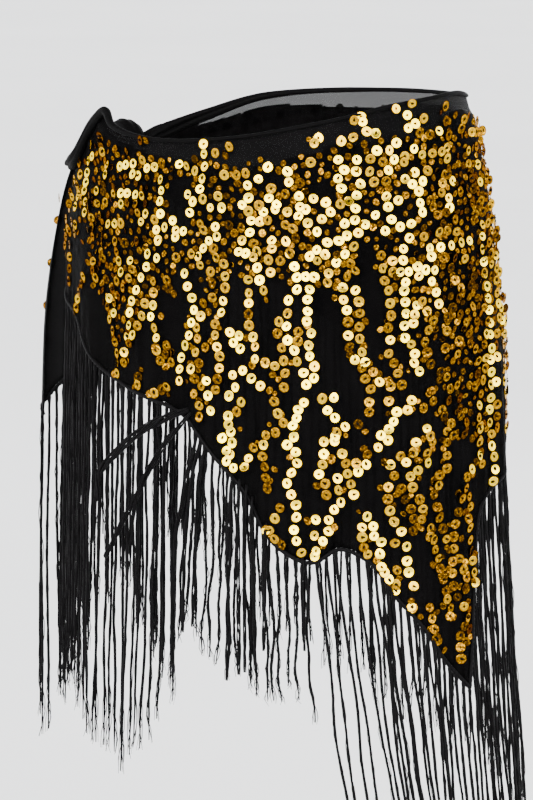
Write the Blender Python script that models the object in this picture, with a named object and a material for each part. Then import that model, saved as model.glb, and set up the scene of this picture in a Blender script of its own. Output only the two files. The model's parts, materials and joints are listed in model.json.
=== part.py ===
"""Belly dance hip scarf, tied round the hips.

A three-cornered mesh scarf is wrapped round the hips with its long edge at the waist, its
middle point hanging at the wearer's left side, and its two long corners tied in a knot at
the wearer's right side.  A fringe hangs from both lower edges.

Frame, in metres: +Z up, -Y the wearer's front, +X the wearer's left.  The origin is the
centre of the waist ring, where the hips hold the scarf.  Angles are in degrees round the
hips: 0 at the front, 90 at the wearer's left side, 180 at the back.
"""
import math

import bpy
from mathutils import Vector

# ---- Cloth and seams ---------------------------------------------------------------------
CLOTH = 0.0015
SEAM_GAP = 0.0003
UP = Vector((0.0, 0.0, 1.0))

# Rings round the hips.  Columns: height, half_width, front_depth, back_depth, centre_x.
HIP_RINGS = (
    (0.030, 0.1440, 0.1060, 0.1130, 0.0000),
    (0.000, 0.1530, 0.1090, 0.1170, 0.0000),
    (-0.035, 0.1640, 0.1130, 0.1210, 0.0005),
    (-0.065, 0.1685, 0.1170, 0.1250, 0.0015),
    (-0.095, 0.1715, 0.1190, 0.1270, 0.0030),
    (-0.140, 0.1735, 0.1210, 0.1295, 0.0050),
    (-0.210, 0.1760, 0.1210, 0.1295, 0.0060),
    (-0.450, 0.1780, 0.1210, 0.1295, 0.0070),
    (-0.750, 0.1780, 0.1210, 0.1295, 0.0070),
)
HIP_ARC = 0.0026          # metres round the hips for one degree, used to measure folds

# ---- Wrap: the stretch of the scarf that goes round the hips -------------------------------
# Upper edge and the rolled hem on it.  Columns: angle, roll_top, roll_radius.
WAIST_EDGE = (
    (-93.0, -0.0195, 0.0060),
    (-84.0, -0.0230, 0.0060),
    (-76.0, -0.0300, 0.0060),
    (-68.0, -0.0345, 0.0058),
    (-60.0, -0.0355, 0.0056),
    (-52.0, -0.0325, 0.0052),
    (-47.0, -0.0270, 0.0048),
    (-43.0, -0.0165, 0.0044),
    (-40.0, -0.0080, 0.0041),
    (-36.0, -0.0002, 0.0037),
    (-31.0, 0.0052, 0.0033),
    (-26.0, -0.0044, 0.0026),
    (-14.6, -0.0114, 0.0018),
    (0.0, -0.0132, 0.0016),
    (18.0, -0.0094, 0.0016),
    (32.0, -0.0035, 0.0016),
    (52.0, 0.0060, 0.0016),
    (68.0, 0.0136, 0.0016),
    (90.0, 0.0188, 0.0016),
    (104.0, 0.0199, 0.0016),
    (125.0, 0.0150, 0.0016),
    (180.0, 0.0120, 0.0018),
    (215.0, 0.0060, 0.0028),
    (235.0, -0.0080, 0.0050),
    (247.0, -0.0180, 0.0062),
)
# Lower edge, down to the point at the left side and up again.  Columns: angle, hem_height.
HEM_LINE = (
    (-93.0, -0.0660),
    (-82.0, -0.0900),
    (-68.0, -0.1210),
    (-56.0, -0.1400),
    (-43.7, -0.1495),
    (-37.0, -0.1630),
    (-24.5, -0.1830),
    (-6.8, -0.1970),
    (3.8, -0.2070),
    (9.7, -0.2248),
    (20.4, -0.2580),
    (25.8, -0.2856),
    (31.9, -0.3002),
    (38.0, -0.3052),
    (45.1, -0.2955),
    (53.7, -0.3060),
    (59.7, -0.3277),
    (67.8, -0.3501),
    (74.7, -0.3729),
    (85.4, -0.3995),
    (87.2, -0.3595),
    (89.2, -0.3256),
    (91.5, -0.2840),
    (95.5, -0.2670),
    (102.0, -0.2580),
    (112.0, -0.2487),
    (135.0, -0.2260),
    (160.0, -0.2080),
    (185.0, -0.1850),
    (208.0, -0.1500),
    (228.0, -0.1080),
    (247.0, -0.0660),
)
ROLL_INSET = 0.85         # degrees between the roll's ends and the wrap's
POINT_ANGLE = 85.4        # where the middle point of the scarf hangs
WRAP_ROWS = 12            # rows of faces from the waist to the hem
ROW_SPREAD = 1.25         # above 1, rows lie closer together near the waist

# Soft folds that stand out from the hips.
# Columns: start_angle, start_height, end_angle, end_height, half_width, rise.
FOLDS = (
    (-28.0, -0.022, 40.0, -0.040, 0.0110, 0.0022),
    (14.0, -0.028, 62.0, -0.012, 0.0100, 0.0026),
    (70.0, -0.012, 118.0, -0.014, 0.0110, 0.0030),
    (150.0, -0.030, 206.0, -0.036, 0.0120, 0.0024),
    (-62.0, -0.090, -58.0, -0.150, 0.0170, 0.0040),
    (-34.0, -0.120, -31.0, -0.180, 0.0160, 0.0030),
    (-12.0, -0.130, -9.0, -0.205, 0.0170, 0.0034),
    (8.0, -0.150, 14.0, -0.240, 0.0150, 0.0030),
    (28.0, -0.190, 33.0, -0.310, 0.0180, 0.0040),
    (47.0, -0.200, 52.0, -0.310, 0.0150, 0.0032),
    (66.0, -0.220, 71.0, -0.360, 0.0170, 0.0036),
    (80.0, -0.240, 86.0, -0.400, 0.0130, 0.0040),
    (104.0, -0.170, 108.0, -0.260, 0.0170, 0.0042),
    (128.0, -0.150, 131.0, -0.235, 0.0190, 0.0044),
    (153.0, -0.130, 155.0, -0.215, 0.0170, 0.0036),
    (178.0, -0.120, 177.0, -0.195, 0.0200, 0.0044),
    (203.0, -0.100, 200.0, -0.160, 0.0170, 0.0036),
)
# Gathers that run into the knot from both sides.
GATHER_WAVES = 2
GATHER_DEPTH = 0.0023
GATHER_REACH = 13.0       # degrees

# ---- Fringe ------------------------------------------------------------------------------
STRAND_PITCH = 0.0078     # along the hem
LEAST_STEP = 1.35         # degrees between strands where the hem is steep
ROOT_WIDTH = 0.0024
HEADING_HEIGHT = 0.0040   # the narrow strip the strands hang from
HEADING_WIDTH = 0.0020
STRAND_RADIUS = 0.0011
# Columns: share of the strand's length, share of its lean and flare.
STRAND_STATIONS = ((0.10, 0.06), (0.50, 0.42), (1.00, 1.00))
# How the strands fall from the hem.  Columns: angle, length, lean, flare.
# Lean is how far the end swings towards the wearer's left, flare how far it stands out.
FRINGE_FALL = (
    (-93.0, 0.250, 0.000, 0.006),
    (-60.0, 0.270, 0.000, 0.004),
    (-20.0, 0.270, -0.003, 0.003),
    (-4.0, 0.255, -0.006, 0.003),
    (6.0, 0.150, -0.006, 0.004),
    (16.0, 0.150, 0.000, 0.004),
    (26.0, 0.118, 0.003, 0.003),
    (36.0, 0.112, 0.006, 0.003),
    (40.0, 0.270, 0.036, 0.005),
    (52.0, 0.270, 0.040, 0.008),
    (66.0, 0.270, 0.034, 0.012),
    (84.0, 0.270, 0.030, 0.018),
    (102.0, 0.270, 0.012, 0.024),
    (140.0, 0.270, 0.004, 0.014),
    (200.0, 0.270, 0.000, 0.008),
    (247.0, 0.250, 0.000, 0.006),
)
# Locks that lie swept forward and right across the front.
# Columns: angle, then drift and drop at three stations, and out, how far they stand proud.
SWEPT_LOCKS = (
    (0.2, -0.046, 0.018, -0.074, 0.046, -0.078, 0.068, 0.0090),
    (3.2, -0.030, 0.040, -0.054, 0.080, -0.070, 0.108, 0.0075),
)
# Nodes of the fringe on the wrap.  Columns: name, first_angle, last_angle.
FRINGE_RUNS = (
    ("fringe_front", -93.0, 38.5),
    ("fringe_point", 38.5, POINT_ANGLE),
    ("fringe_side", POINT_ANGLE, 140.0),
    ("fringe_back", 140.0, 247.0),
)

# ---- Knot --------------------------------------------------------------------------------
KNOT_ANGLE = 257.0
KNOT_HEIGHT = -0.0420
KNOT_INSET = 0.35         # degrees between the wrap and the bundle
# The gathered ends, lying side by side through the knot from back to front.
# Columns: share of the way, half_height, half_thickness, height.
BUNDLE_SECTIONS = (
    (0.00, 0.0235, 0.0040, -0.0420),
    (0.12, 0.0215, 0.0065, -0.0420),
    (0.26, 0.0160, 0.0090, -0.0420),
    (0.36, 0.0130, 0.0098, -0.0420),
    (0.50, 0.0130, 0.0100, -0.0420),
    (0.64, 0.0130, 0.0098, -0.0420),
    (0.74, 0.0160, 0.0090, -0.0420),
    (0.88, 0.0215, 0.0065, -0.0420),
    (1.00, 0.0235, 0.0040, -0.0420),
)
BUNDLE_SIDES = 18
BUNDLE_PLEATS = 6
BUNDLE_PLEAT_DEPTH = 0.09  # share of the section's size
LOOP_HALF_WIDTH = 0.0086
LOOP_OUTER_RADIUS = 0.0072
LOOP_INNER_RADIUS = 0.0016
LOOP_CLEARANCE = 0.0018
KNOT_LIFT = 0.0048        # how far the knot stands off the hips
LOOP_STEPS = 20
LOOP_SIDES = 8

# ---- Tails: the two loose corners that hang from the knot -----------------------------------
# The plain edge of each tail and its fringed side, from the knot down to the tip.
# Columns: plain_x, plain_y, plain_z, fringed_x, fringed_y, fringed_z, pleat_depth.
TAIL_FRONT = (
    (-0.1895, 0.0259, -0.028, -0.1885, 0.0259, -0.058, 0.0008),
    (-0.1925, 0.0060, -0.033, -0.1900, 0.0255, -0.070, 0.0018),
    (-0.1950, -0.0105, -0.055, -0.1905, 0.0290, -0.080, 0.0030),
    (-0.1985, -0.0210, -0.095, -0.1910, 0.0330, -0.090, 0.0040),
    (-0.2010, -0.0315, -0.160, -0.1915, 0.0370, -0.099, 0.0046),
    (-0.2020, -0.0350, -0.237, -0.1920, 0.0410, -0.108, 0.0048),
)
TAIL_BACK = (
    (-0.1895, 0.0476, -0.028, -0.1885, 0.0476, -0.058, 0.0008),
    (-0.1840, 0.0640, -0.033, -0.1880, 0.0490, -0.070, 0.0018),
    (-0.1800, 0.0760, -0.055, -0.1885, 0.0475, -0.082, 0.0030),
    (-0.1775, 0.0850, -0.095, -0.1890, 0.0460, -0.094, 0.0040),
    (-0.1760, 0.0930, -0.155, -0.1895, 0.0450, -0.106, 0.0046),
    (-0.1760, 0.0960, -0.226, -0.1900, 0.0440, -0.118, 0.0048),
)
TAIL_PLEATS = 3.5
TAIL_COLUMNS = 20
TAIL_ROWS = 12
TAIL_FRINGE_LENGTH = 0.250
TAIL_FRINGE_FLARE = 0.003

# ---- Colours: red, green, blue, roughness ---------------------------------------------------
MESH_BLACK = (0.018, 0.016, 0.017, 0.75)
ROLLED_BLACK = (0.012, 0.011, 0.012, 0.80)
FRINGE_BLACK = (0.010, 0.010, 0.011, 0.55)


# ---- Small tools ---------------------------------------------------------------------------
def smooth_value(table, key, column):
    """Read one column of a table on a smooth curve through its rows."""
    rows = sorted(table, key=lambda row: row[0])
    if key <= rows[0][0]:
        return rows[0][column]
    if key >= rows[-1][0]:
        return rows[-1][column]
    here = max(i for i in range(len(rows) - 1) if rows[i][0] <= key)

    def slope(i):
        low, high = max(i - 1, 0), min(i + 1, len(rows) - 1)
        return (rows[high][column] - rows[low][column]) / (rows[high][0] - rows[low][0])

    span = rows[here + 1][0] - rows[here][0]
    f = (key - rows[here][0]) / span
    start, end = rows[here][column], rows[here + 1][column]
    return (start * (2 * f ** 3 - 3 * f ** 2 + 1) + end * (3 * f ** 2 - 2 * f ** 3)
            + slope(here) * span * (f ** 3 - 2 * f ** 2 + f)
            + slope(here + 1) * span * (f ** 3 - f ** 2))


def straight_value(table, key, column):
    """Read one column of a table on straight lines between its rows."""
    rows = sorted(table, key=lambda row: row[0])
    if key <= rows[0][0]:
        return rows[0][column]
    for low, high in zip(rows, rows[1:]):
        if key <= high[0]:
            return low[column] + (high[column] - low[column]) * (key - low[0]) / (high[0] - low[0])
    return rows[-1][column]


def uneven(number):
    """A fixed uneven value from -1 to 1 for each whole number."""
    return math.sin(number * 12.9898) * math.cos(number * 4.1414 + 0.7)


def make_material(name, finish):
    red, green, blue, roughness = finish
    material = bpy.data.materials.new(name)
    material.use_nodes = True
    shader = material.node_tree.nodes["Principled BSDF"]
    shader.inputs["Base Color"].default_value = (red, green, blue, 1.0)
    shader.inputs["Roughness"].default_value = roughness
    shader.inputs["Metallic"].default_value = 0.0
    return material


def add_object(name, data, material):
    data.materials.append(material)
    piece = bpy.data.objects.new(name, data)
    bpy.context.scene.collection.objects.link(piece)
    return piece


def add_mesh(name, points, faces, material):
    mesh = bpy.data.meshes.new(name)
    mesh.from_pydata([tuple(p) for p in points], [], faces)
    mesh.validate()
    mesh.shade_smooth()
    return add_object(name, mesh, material)


# ---- The hips ------------------------------------------------------------------------------
def hip_point(angle, height, out):
    """A point standing out from the hips, level with its own ring."""
    turn = math.radians(angle)
    depth_column = 2 if math.cos(turn) >= 0.0 else 3
    half_width = straight_value(HIP_RINGS, height, 1)
    depth = straight_value(HIP_RINGS, height, depth_column)
    centre = straight_value(HIP_RINGS, height, 4)
    outward = Vector((math.sin(turn) / half_width, -math.cos(turn) / depth, 0.0)).normalized()
    ring = Vector((centre + half_width * math.sin(turn), -depth * math.cos(turn), height))
    return ring + outward * out


def fold_rise(angle, height):
    """How far the soft folds lift the cloth at a place."""
    here = Vector((angle * HIP_ARC, height))
    rise = 0.0
    for start_angle, start_height, end_angle, end_height, half_width, lift in FOLDS:
        start = Vector((start_angle * HIP_ARC, start_height))
        run = Vector((end_angle * HIP_ARC, end_height)) - start
        share = min(max((here - start).dot(run) / run.length_squared, 0.0), 1.0)
        away = (here - start - run * share).length / half_width
        rise += lift * math.exp(-away * away)
    return rise


# ---- The wrap ------------------------------------------------------------------------------
def wrap_top(angle):
    """Upper edge of the cloth, SEAM_GAP clear of the roll, also where the roll runs steeply."""
    radius = smooth_value(WAIST_EDGE, angle, 2)
    rise = smooth_value(WAIST_EDGE, angle + 1.0, 1) - smooth_value(WAIST_EDGE, angle - 1.0, 1)
    steepness = math.hypot(1.0, rise / (2.0 * HIP_ARC))
    return smooth_value(WAIST_EDGE, angle, 1) - radius - (radius + SEAM_GAP) * steepness


def hem_height(angle):
    if angle <= POINT_ANGLE:
        front_rows = [row for row in HEM_LINE if row[0] <= POINT_ANGLE]
        return smooth_value(front_rows, angle, 1)
    back_rows = [row for row in HEM_LINE if row[0] >= POINT_ANGLE]
    return smooth_value(back_rows, angle, 1)


def strand_angles():
    """Angles of the strand roots: even along the hem, and one at the point itself."""
    def march(start, end):
        steps = 400
        lengths = [0.0]
        for i in range(steps):
            low = start + (end - start) * i / steps
            high = start + (end - start) * (i + 1) / steps
            run = (hip_point(high, hem_height(high), 0.0) - hip_point(low, hem_height(low), 0.0)).length
            least = (high - low) / LEAST_STEP * STRAND_PITCH
            lengths.append(lengths[-1] + min(run, least))
        count = 2 * round(lengths[-1] / STRAND_PITCH / 2.0)
        angles = []
        for k in range(count + 1):
            goal = lengths[-1] * k / count
            i = min(max(j for j in range(steps) if lengths[j] <= goal + 1e-12), steps - 1)
            share = (goal - lengths[i]) / (lengths[i + 1] - lengths[i])
            angles.append(start + (end - start) * (i + share) / steps)
        return angles

    return march(HEM_LINE[0][0], POINT_ANGLE) + march(POINT_ANGLE, HEM_LINE[-1][0])[1:]


def wrap_out(angle, share):
    """How far the cloth stands off the hips, from the waist (0) to the hem (1)."""
    top, hem = wrap_top(angle), hem_height(angle)
    from_end = min(angle - HEM_LINE[0][0], HEM_LINE[-1][0] - angle)
    gather = math.exp(-(from_end / GATHER_REACH) ** 2)
    pleat = 0.5 - 0.5 * math.cos(2.0 * math.pi * GATHER_WAVES * share)
    return CLOTH + fold_rise(angle, top + (hem - top) * share) + GATHER_DEPTH * gather * pleat


def wrap_grids(angles):
    """Outer and inner points of the wrap, one column for each angle."""
    outer, inner = [], []
    for angle in angles:
        top, hem = wrap_top(angle), hem_height(angle)
        outer_column, inner_column = [], []
        for row in range(WRAP_ROWS + 1):
            share = (row / WRAP_ROWS) ** ROW_SPREAD
            height = top + (hem - top) * share
            out = wrap_out(angle, share)
            outer_column.append(hip_point(angle, height, out))
            inner_column.append(hip_point(angle, height, out - CLOTH))
        outer.append(outer_column)
        inner.append(inner_column)
    return outer, inner


def add_wall(name, outer, inner, material):
    """A closed cloth wall between an outer and an inner grid of points."""
    columns, rows = len(outer), len(outer[0])
    points = [p for grid in (outer, inner) for column in grid for p in column]

    def index(side, column, row):
        return (side * columns + column) * rows + row

    faces = []
    for c in range(columns - 1):
        for r in range(rows - 1):
            faces.append((index(0, c, r), index(0, c, r + 1), index(0, c + 1, r + 1),
                          index(0, c + 1, r)))
            faces.append((index(1, c, r), index(1, c + 1, r), index(1, c + 1, r + 1),
                          index(1, c, r + 1)))
        faces.append((index(0, c, 0), index(0, c + 1, 0), index(1, c + 1, 0), index(1, c, 0)))
        last = rows - 1
        faces.append((index(0, c, last), index(1, c, last), index(1, c + 1, last),
                      index(0, c + 1, last)))
    for r in range(rows - 1):
        last = columns - 1
        faces.append((index(0, 0, r), index(1, 0, r), index(1, 0, r + 1), index(0, 0, r + 1)))
        faces.append((index(0, last, r), index(0, last, r + 1), index(1, last, r + 1),
                      index(1, last, r)))
    return add_mesh(name, points, faces, material)


def add_waist_roll(angles, material):
    """The rolled hem along the waist, thicker where it gathers towards the knot."""
    curve = bpy.data.curves.new("waist_roll", "CURVE")
    curve.dimensions = "3D"
    curve.bevel_depth = 1.0
    curve.bevel_resolution = 1
    curve.use_fill_caps = True
    spline = curve.splines.new("POLY")
    spline.points.add(len(angles) - 1)
    for point, column in zip(spline.points, angles):
        angle = min(max(column, angles[0] + ROLL_INSET), angles[-1] - ROLL_INSET)
        radius = smooth_value(WAIST_EDGE, angle, 2)
        height = smooth_value(WAIST_EDGE, angle, 1) - radius
        out = wrap_out(angle, 0.0) + radius - CLOTH
        point.co = (*hip_point(angle, height, out), 1.0)
        point.radius = radius
    add_object("waist_roll", curve, material)


# ---- The fringe ----------------------------------------------------------------------------
def edge_place(outer_edge, inner_edge, place):
    """Outer and inner point, and direction, at a place counted in points along an edge."""
    low = min(int(place), len(outer_edge) - 2)
    share = place - low
    outer = outer_edge[low].lerp(outer_edge[low + 1], share)
    inner = inner_edge[low].lerp(inner_edge[low + 1], share)
    return outer, inner, (outer_edge[low + 1] - outer_edge[low]).normalized()


def heading_ring(outer_edge, inner_edge, place):
    """The heading's section at a place: its upper edge, and its lower outer and inner edges."""
    outer, inner, along = edge_place(outer_edge, inner_edge, place)
    outward = (outer - inner).normalized()
    away = along.cross(outward).normalized()
    if away.z > 0.0:
        away = -away
    middle = (outer + inner) * 0.5
    low = middle + away * (SEAM_GAP + HEADING_HEIGHT)
    return (middle + away * SEAM_GAP, low + outward * HEADING_WIDTH * 0.5,
            low - outward * HEADING_WIDTH * 0.5)


def add_fringe(name, outer_edge, inner_edge, roots, ends, falls, material):
    """Strands on one heading, grown out of its lower face.

    Roots are places along the edge, ends the places where the heading stops, and falls
    holds the points of each strand's own line below its root.
    """
    points, faces = [], []

    def add_ring(place):
        points.extend(heading_ring(outer_edge, inner_edge, place))
        return len(points) - 3

    def join_rings(a, b, with_floor):
        faces.append((a, a + 1, b + 1, b))
        faces.append((a, b, b + 2, a + 2))
        if with_floor:
            faces.append((a + 1, a + 2, b + 2, b + 1))

    previous = add_ring(ends[0])
    faces.append((previous, previous + 2, previous + 1))
    for root, fall in zip(roots, falls):
        low = min(int(root), len(outer_edge) - 2)
        half = 0.5 * ROOT_WIDTH / (outer_edge[low + 1] - outer_edge[low]).length
        left = add_ring(root - half)
        right = add_ring(root + half)
        join_rings(previous, left, True)
        join_rings(left, right, False)
        add_strand(points, faces, left, right, fall)
        previous = right
    last = add_ring(ends[1])
    join_rings(previous, last, True)
    faces.append((last, last + 1, last + 2))
    return add_mesh(name, points, faces, material)


def add_strand(points, faces, left, right, fall):
    """A three-sided strand from the heading's lower face down its own line."""
    across = (points[right + 1] - points[left + 1]).normalized()
    outward = across.cross(UP).normalized()
    triangles = []
    for centre in fall:
        start = len(points)
        points.append(centre - across * STRAND_RADIUS * 0.87 + outward * STRAND_RADIUS * 0.5)
        points.append(centre + across * STRAND_RADIUS * 0.87 + outward * STRAND_RADIUS * 0.5)
        points.append(centre - outward * STRAND_RADIUS)
        triangles.append(start)
    first = triangles[0]
    faces.append((left + 1, first, first + 1, right + 1))
    faces.append((left + 1, left + 2, first + 2, first))
    faces.append((right + 1, first + 1, first + 2, right + 2))
    faces.append((left + 2, right + 2, first + 2))
    for a, b in zip(triangles, triangles[1:]):
        faces.append((a, b, b + 1, a + 1))
        faces.append((a, a + 2, b + 2, b))
        faces.append((a + 1, b + 1, b + 2, a + 2))
    end = triangles[-1]
    faces.append((end, end + 2, end + 1))


def wrap_fall(angle, number):
    """The line of a strand below the wrap's hem."""
    root_out = wrap_out(angle, 1.0) - 0.5 * CLOTH
    root_height = hem_height(angle) - HEADING_HEIGHT
    for lock in SWEPT_LOCKS:
        if abs(angle - lock[0]) < 1.3:
            stations = [(lock[1], lock[2]), (lock[3], lock[4]), (lock[5], lock[6])]
            return [hip_point(angle + drift / HIP_ARC, root_height - drop, root_out + lock[7])
                    for drift, drop in stations]
    length = smooth_value(FRINGE_FALL, angle, 1) * (1.0 + 0.04 * uneven(number))
    lean = straight_value(FRINGE_FALL, angle, 2) + 0.0010 * uneven(number + 51)
    flare = straight_value(FRINGE_FALL, angle, 3) + 0.0012 * (1.0 + uneven(number + 97))
    return [hip_point(angle + lean * swing / HIP_ARC, root_height - length * drop,
                      root_out + flare * swing)
            for drop, swing in STRAND_STATIONS]


def add_wrap_fringes(angles, outer, inner, material):
    outer_edge = [column[-1] for column in outer]
    inner_edge = [column[-1] for column in inner]
    for name, first, last in FRINGE_RUNS:
        picked = [i for i, angle in enumerate(angles) if first + 0.05 < angle < last - 0.05]
        if picked[0] == 1:
            start = 0.0
        else:
            start = (picked[0] - 0.5) / 2.0
        stop = (picked[-1] + 0.5) / 2.0
        if name == "fringe_point":
            stop = (picked[-1] + 0.9) / 2.0
        falls = [wrap_fall(angles[i], i) for i in picked]
        ends = (start + 0.02, stop - 0.02)
        add_fringe(name, outer_edge, inner_edge, [i / 2.0 for i in picked], ends, falls, material)


# ---- The knot ------------------------------------------------------------------------------
def knot_axes():
    """Forward along the hips and outward from them, at the knot."""
    outward = (hip_point(KNOT_ANGLE, KNOT_HEIGHT, 1.0)
               - hip_point(KNOT_ANGLE, KNOT_HEIGHT, 0.0)).normalized()
    return UP.cross(outward).normalized(), outward


def add_loft(name, rings, closed, material):
    """Skin a row of rings, either capped at both ends or joined round into a loop."""
    sides = len(rings[0])
    points = [p for ring in rings for p in ring]
    faces = []
    spans = len(rings) if closed else len(rings) - 1
    for i in range(spans):
        a, b = i * sides, (i + 1) % len(rings) * sides
        for k in range(sides):
            n = (k + 1) % sides
            faces.append((a + k, b + k, b + n, a + n))
    if not closed:
        faces.append(tuple(range(sides)))
        faces.append(tuple(reversed(range(len(points) - sides, len(points)))))
    return add_mesh(name, points, faces, material)


def add_knot_bundle(material):
    """The two gathered ends where they pass through the knot."""
    back_end = HEM_LINE[-1][0] + KNOT_INSET
    front_end = HEM_LINE[0][0] + 360.0 - KNOT_INSET
    rings = []
    for share, half_height, half_thickness, height in BUNDLE_SECTIONS:
        angle = back_end + (front_end - back_end) * share
        middle_out = half_thickness + KNOT_LIFT * math.sin(math.pi * share)
        ring = []
        for k in range(BUNDLE_SIDES):
            turn = 2.0 * math.pi * k / BUNDLE_SIDES
            pleat = 1.0 + BUNDLE_PLEAT_DEPTH * math.cos(BUNDLE_PLEATS * turn)
            ring.append(hip_point(angle, height + half_height * pleat * math.sin(turn),
                                  middle_out + half_thickness * pleat * math.cos(turn)))
        rings.append(ring)
    add_loft("knot_bundle", rings, False, material)


def add_knot_loop(material):
    """The turn of cloth that holds the bundle."""
    forward, outward = knot_axes()
    middle = BUNDLE_SECTIONS[len(BUNDLE_SECTIONS) // 2]
    reach = 1.0 + BUNDLE_PLEAT_DEPTH
    centre = hip_point(KNOT_ANGLE, KNOT_HEIGHT, middle[2] + KNOT_LIFT)
    rings = []
    for i in range(LOOP_STEPS):
        turn = 2.0 * math.pi * i / LOOP_STEPS
        outer_share = 0.5 + 0.5 * math.cos(turn)
        radius = LOOP_INNER_RADIUS + (LOOP_OUTER_RADIUS - LOOP_INNER_RADIUS) * outer_share ** 0.6
        side = outward * math.cos(turn) + UP * math.sin(turn)
        bundle = outward * middle[2] * reach * math.cos(turn) + UP * middle[1] * reach * math.sin(turn)
        ring_centre = centre + bundle + side * (radius + LOOP_CLEARANCE)
        ring = []
        for k in range(LOOP_SIDES):
            around = 2.0 * math.pi * k / LOOP_SIDES
            ring.append(ring_centre + side * radius * math.cos(around)
                        - forward * LOOP_HALF_WIDTH * math.sin(around))
        rings.append(ring)
    add_loft("knot_loop", rings, True, material)


# ---- The tails -----------------------------------------------------------------------------
def tail_point(table, across, down):
    """A point of a tail: across from its plain edge to its fringed side, down to its hem."""
    keyed = [(row_number, *row) for row_number, row in enumerate(table)]
    key = down * (len(table) - 1)
    plain = Vector([smooth_value(keyed, key, column) for column in (1, 2, 3)])
    fringed = Vector([smooth_value(keyed, key, column) for column in (4, 5, 6)])
    pleat = smooth_value(keyed, key, 7) * math.sin(2.0 * math.pi * TAIL_PLEATS * across)
    return plain.lerp(fringed, across) + Vector((-pleat, 0.0, 0.0))


def add_tail(name, table, cloth, thread):
    """A loose corner in soft pleats, with a fringe along its lower side."""
    outer = [[tail_point(table, c / TAIL_COLUMNS, r / TAIL_ROWS) for r in range(TAIL_ROWS + 1)]
             for c in range(TAIL_COLUMNS + 1)]
    inner = []
    for c, column in enumerate(outer):
        before, after = outer[max(c - 1, 0)], outer[min(c + 1, TAIL_COLUMNS)]
        inward = [UP.cross(after[r] - before[r]).normalized() for r in range(TAIL_ROWS + 1)]
        inward = [-n if n.x < 0.0 else n for n in inward]
        inner.append([p + n * CLOTH for p, n in zip(column, inward)])
    if outer[0][-1].y < outer[-1][-1].y:
        outer.reverse()
        inner.reverse()
    add_wall("tail_" + name, outer, inner, cloth)
    outer_edge = [column[-1] for column in outer]
    inner_edge = [column[-1] for column in inner]
    roots = [0.3, *range(1, TAIL_COLUMNS), TAIL_COLUMNS - 0.3]
    falls = []
    for i, root in enumerate(roots):
        start, inside, _ = edge_place(outer_edge, inner_edge, root)
        length = TAIL_FRINGE_LENGTH * (1.0 + 0.05 * uneven(i + len(name) * 7))
        middle = (start + inside) * 0.5
        lean = 0.002 * uneven(i + 31)
        falls.append([middle + Vector((-TAIL_FRINGE_FLARE * swing, lean * swing,
                                       -HEADING_HEIGHT - length * drop))
                      for drop, swing in STRAND_STATIONS])
    add_fringe("fringe_tail_" + name, outer_edge, inner_edge, roots, (0.04, TAIL_COLUMNS - 0.04),
               falls, thread)


def build():
    for old in list(bpy.data.objects):
        bpy.data.objects.remove(old, do_unlink=True)
    cloth = make_material("mesh_cloth", MESH_BLACK)
    rolled = make_material("rolled_cloth", ROLLED_BLACK)
    thread = make_material("fringe_thread", FRINGE_BLACK)
    angles = strand_angles()
    columns = angles[::2]
    outer, inner = wrap_grids(columns)
    add_wall("wrap", outer, inner, cloth)
    add_waist_roll(columns, rolled)
    add_wrap_fringes(angles, outer, inner, thread)
    add_knot_bundle(rolled)
    add_knot_loop(rolled)
    add_tail("front", TAIL_FRONT, cloth, thread)
    add_tail("back", TAIL_BACK, cloth, thread)


build()
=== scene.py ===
import json
import math

import bpy
import numpy as np
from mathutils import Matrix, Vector

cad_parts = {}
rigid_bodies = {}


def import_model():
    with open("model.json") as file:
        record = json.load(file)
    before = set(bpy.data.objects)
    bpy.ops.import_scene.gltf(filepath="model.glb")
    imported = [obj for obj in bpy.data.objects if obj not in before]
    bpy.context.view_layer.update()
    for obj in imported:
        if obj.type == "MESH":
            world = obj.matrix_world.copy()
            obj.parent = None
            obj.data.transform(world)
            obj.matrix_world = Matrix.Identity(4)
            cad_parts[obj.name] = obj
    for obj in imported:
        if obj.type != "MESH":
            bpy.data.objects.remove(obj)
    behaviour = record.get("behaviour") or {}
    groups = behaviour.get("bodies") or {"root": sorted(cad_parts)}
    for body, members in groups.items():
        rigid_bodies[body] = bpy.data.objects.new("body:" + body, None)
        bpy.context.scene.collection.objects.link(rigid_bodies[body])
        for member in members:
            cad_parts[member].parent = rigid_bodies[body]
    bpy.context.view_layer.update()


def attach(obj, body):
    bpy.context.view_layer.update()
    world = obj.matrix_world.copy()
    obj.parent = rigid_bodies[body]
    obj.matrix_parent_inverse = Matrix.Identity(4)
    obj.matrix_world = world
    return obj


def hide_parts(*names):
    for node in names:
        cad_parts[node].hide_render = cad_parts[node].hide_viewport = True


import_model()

bl_info = {
    "name": "Belly dance hip scarf",
    "version": (1, 0, 0),
    "blender": (4, 5, 0),
    "location": "3D View > Sidebar > Hip scarf",
    "description": "Dresses the hip scarf with mesh cloth, sewn sequins and a hanging fringe",
    "category": "Add Mesh",
}

# Lengths are in metres and angles in degrees: 0 is the wearer's front, 90 the left side.

# ---- The scarf's shape: the same tables as the solids ---------------------------------------
CLOTH = 0.0015            # thickness of the solids' cloth, which the dressed cloth lies on
SEAM_GAP = 0.0003         # left between two pieces that meet at a seam
UP = np.array((0.0, 0.0, 1.0))

# Where the studio camera stands.  The charts below give places as marks across and down its
# frame, which is FRAME_WIDTH marks wide and FRAME_HEIGHT high.
FRAME_WIDTH, FRAME_HEIGHT = 533, 800
VIEW_AIM = np.array((-0.0015, -0.0082, -0.2117))
VIEW_AZIMUTH, VIEW_RISE = math.radians(40.0), math.radians(8.0)
VIEW_DISTANCE = 3.0
VIEW_LENS, VIEW_SENSOR = 183.67, 36.0   # millimetres
# The part of the cloth that the charts cover: first, last and step.
CHART_ANGLES = (-60.0, 128.0, 0.25)
CHART_HEIGHTS = (-0.41, 0.022, 0.001)

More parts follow.
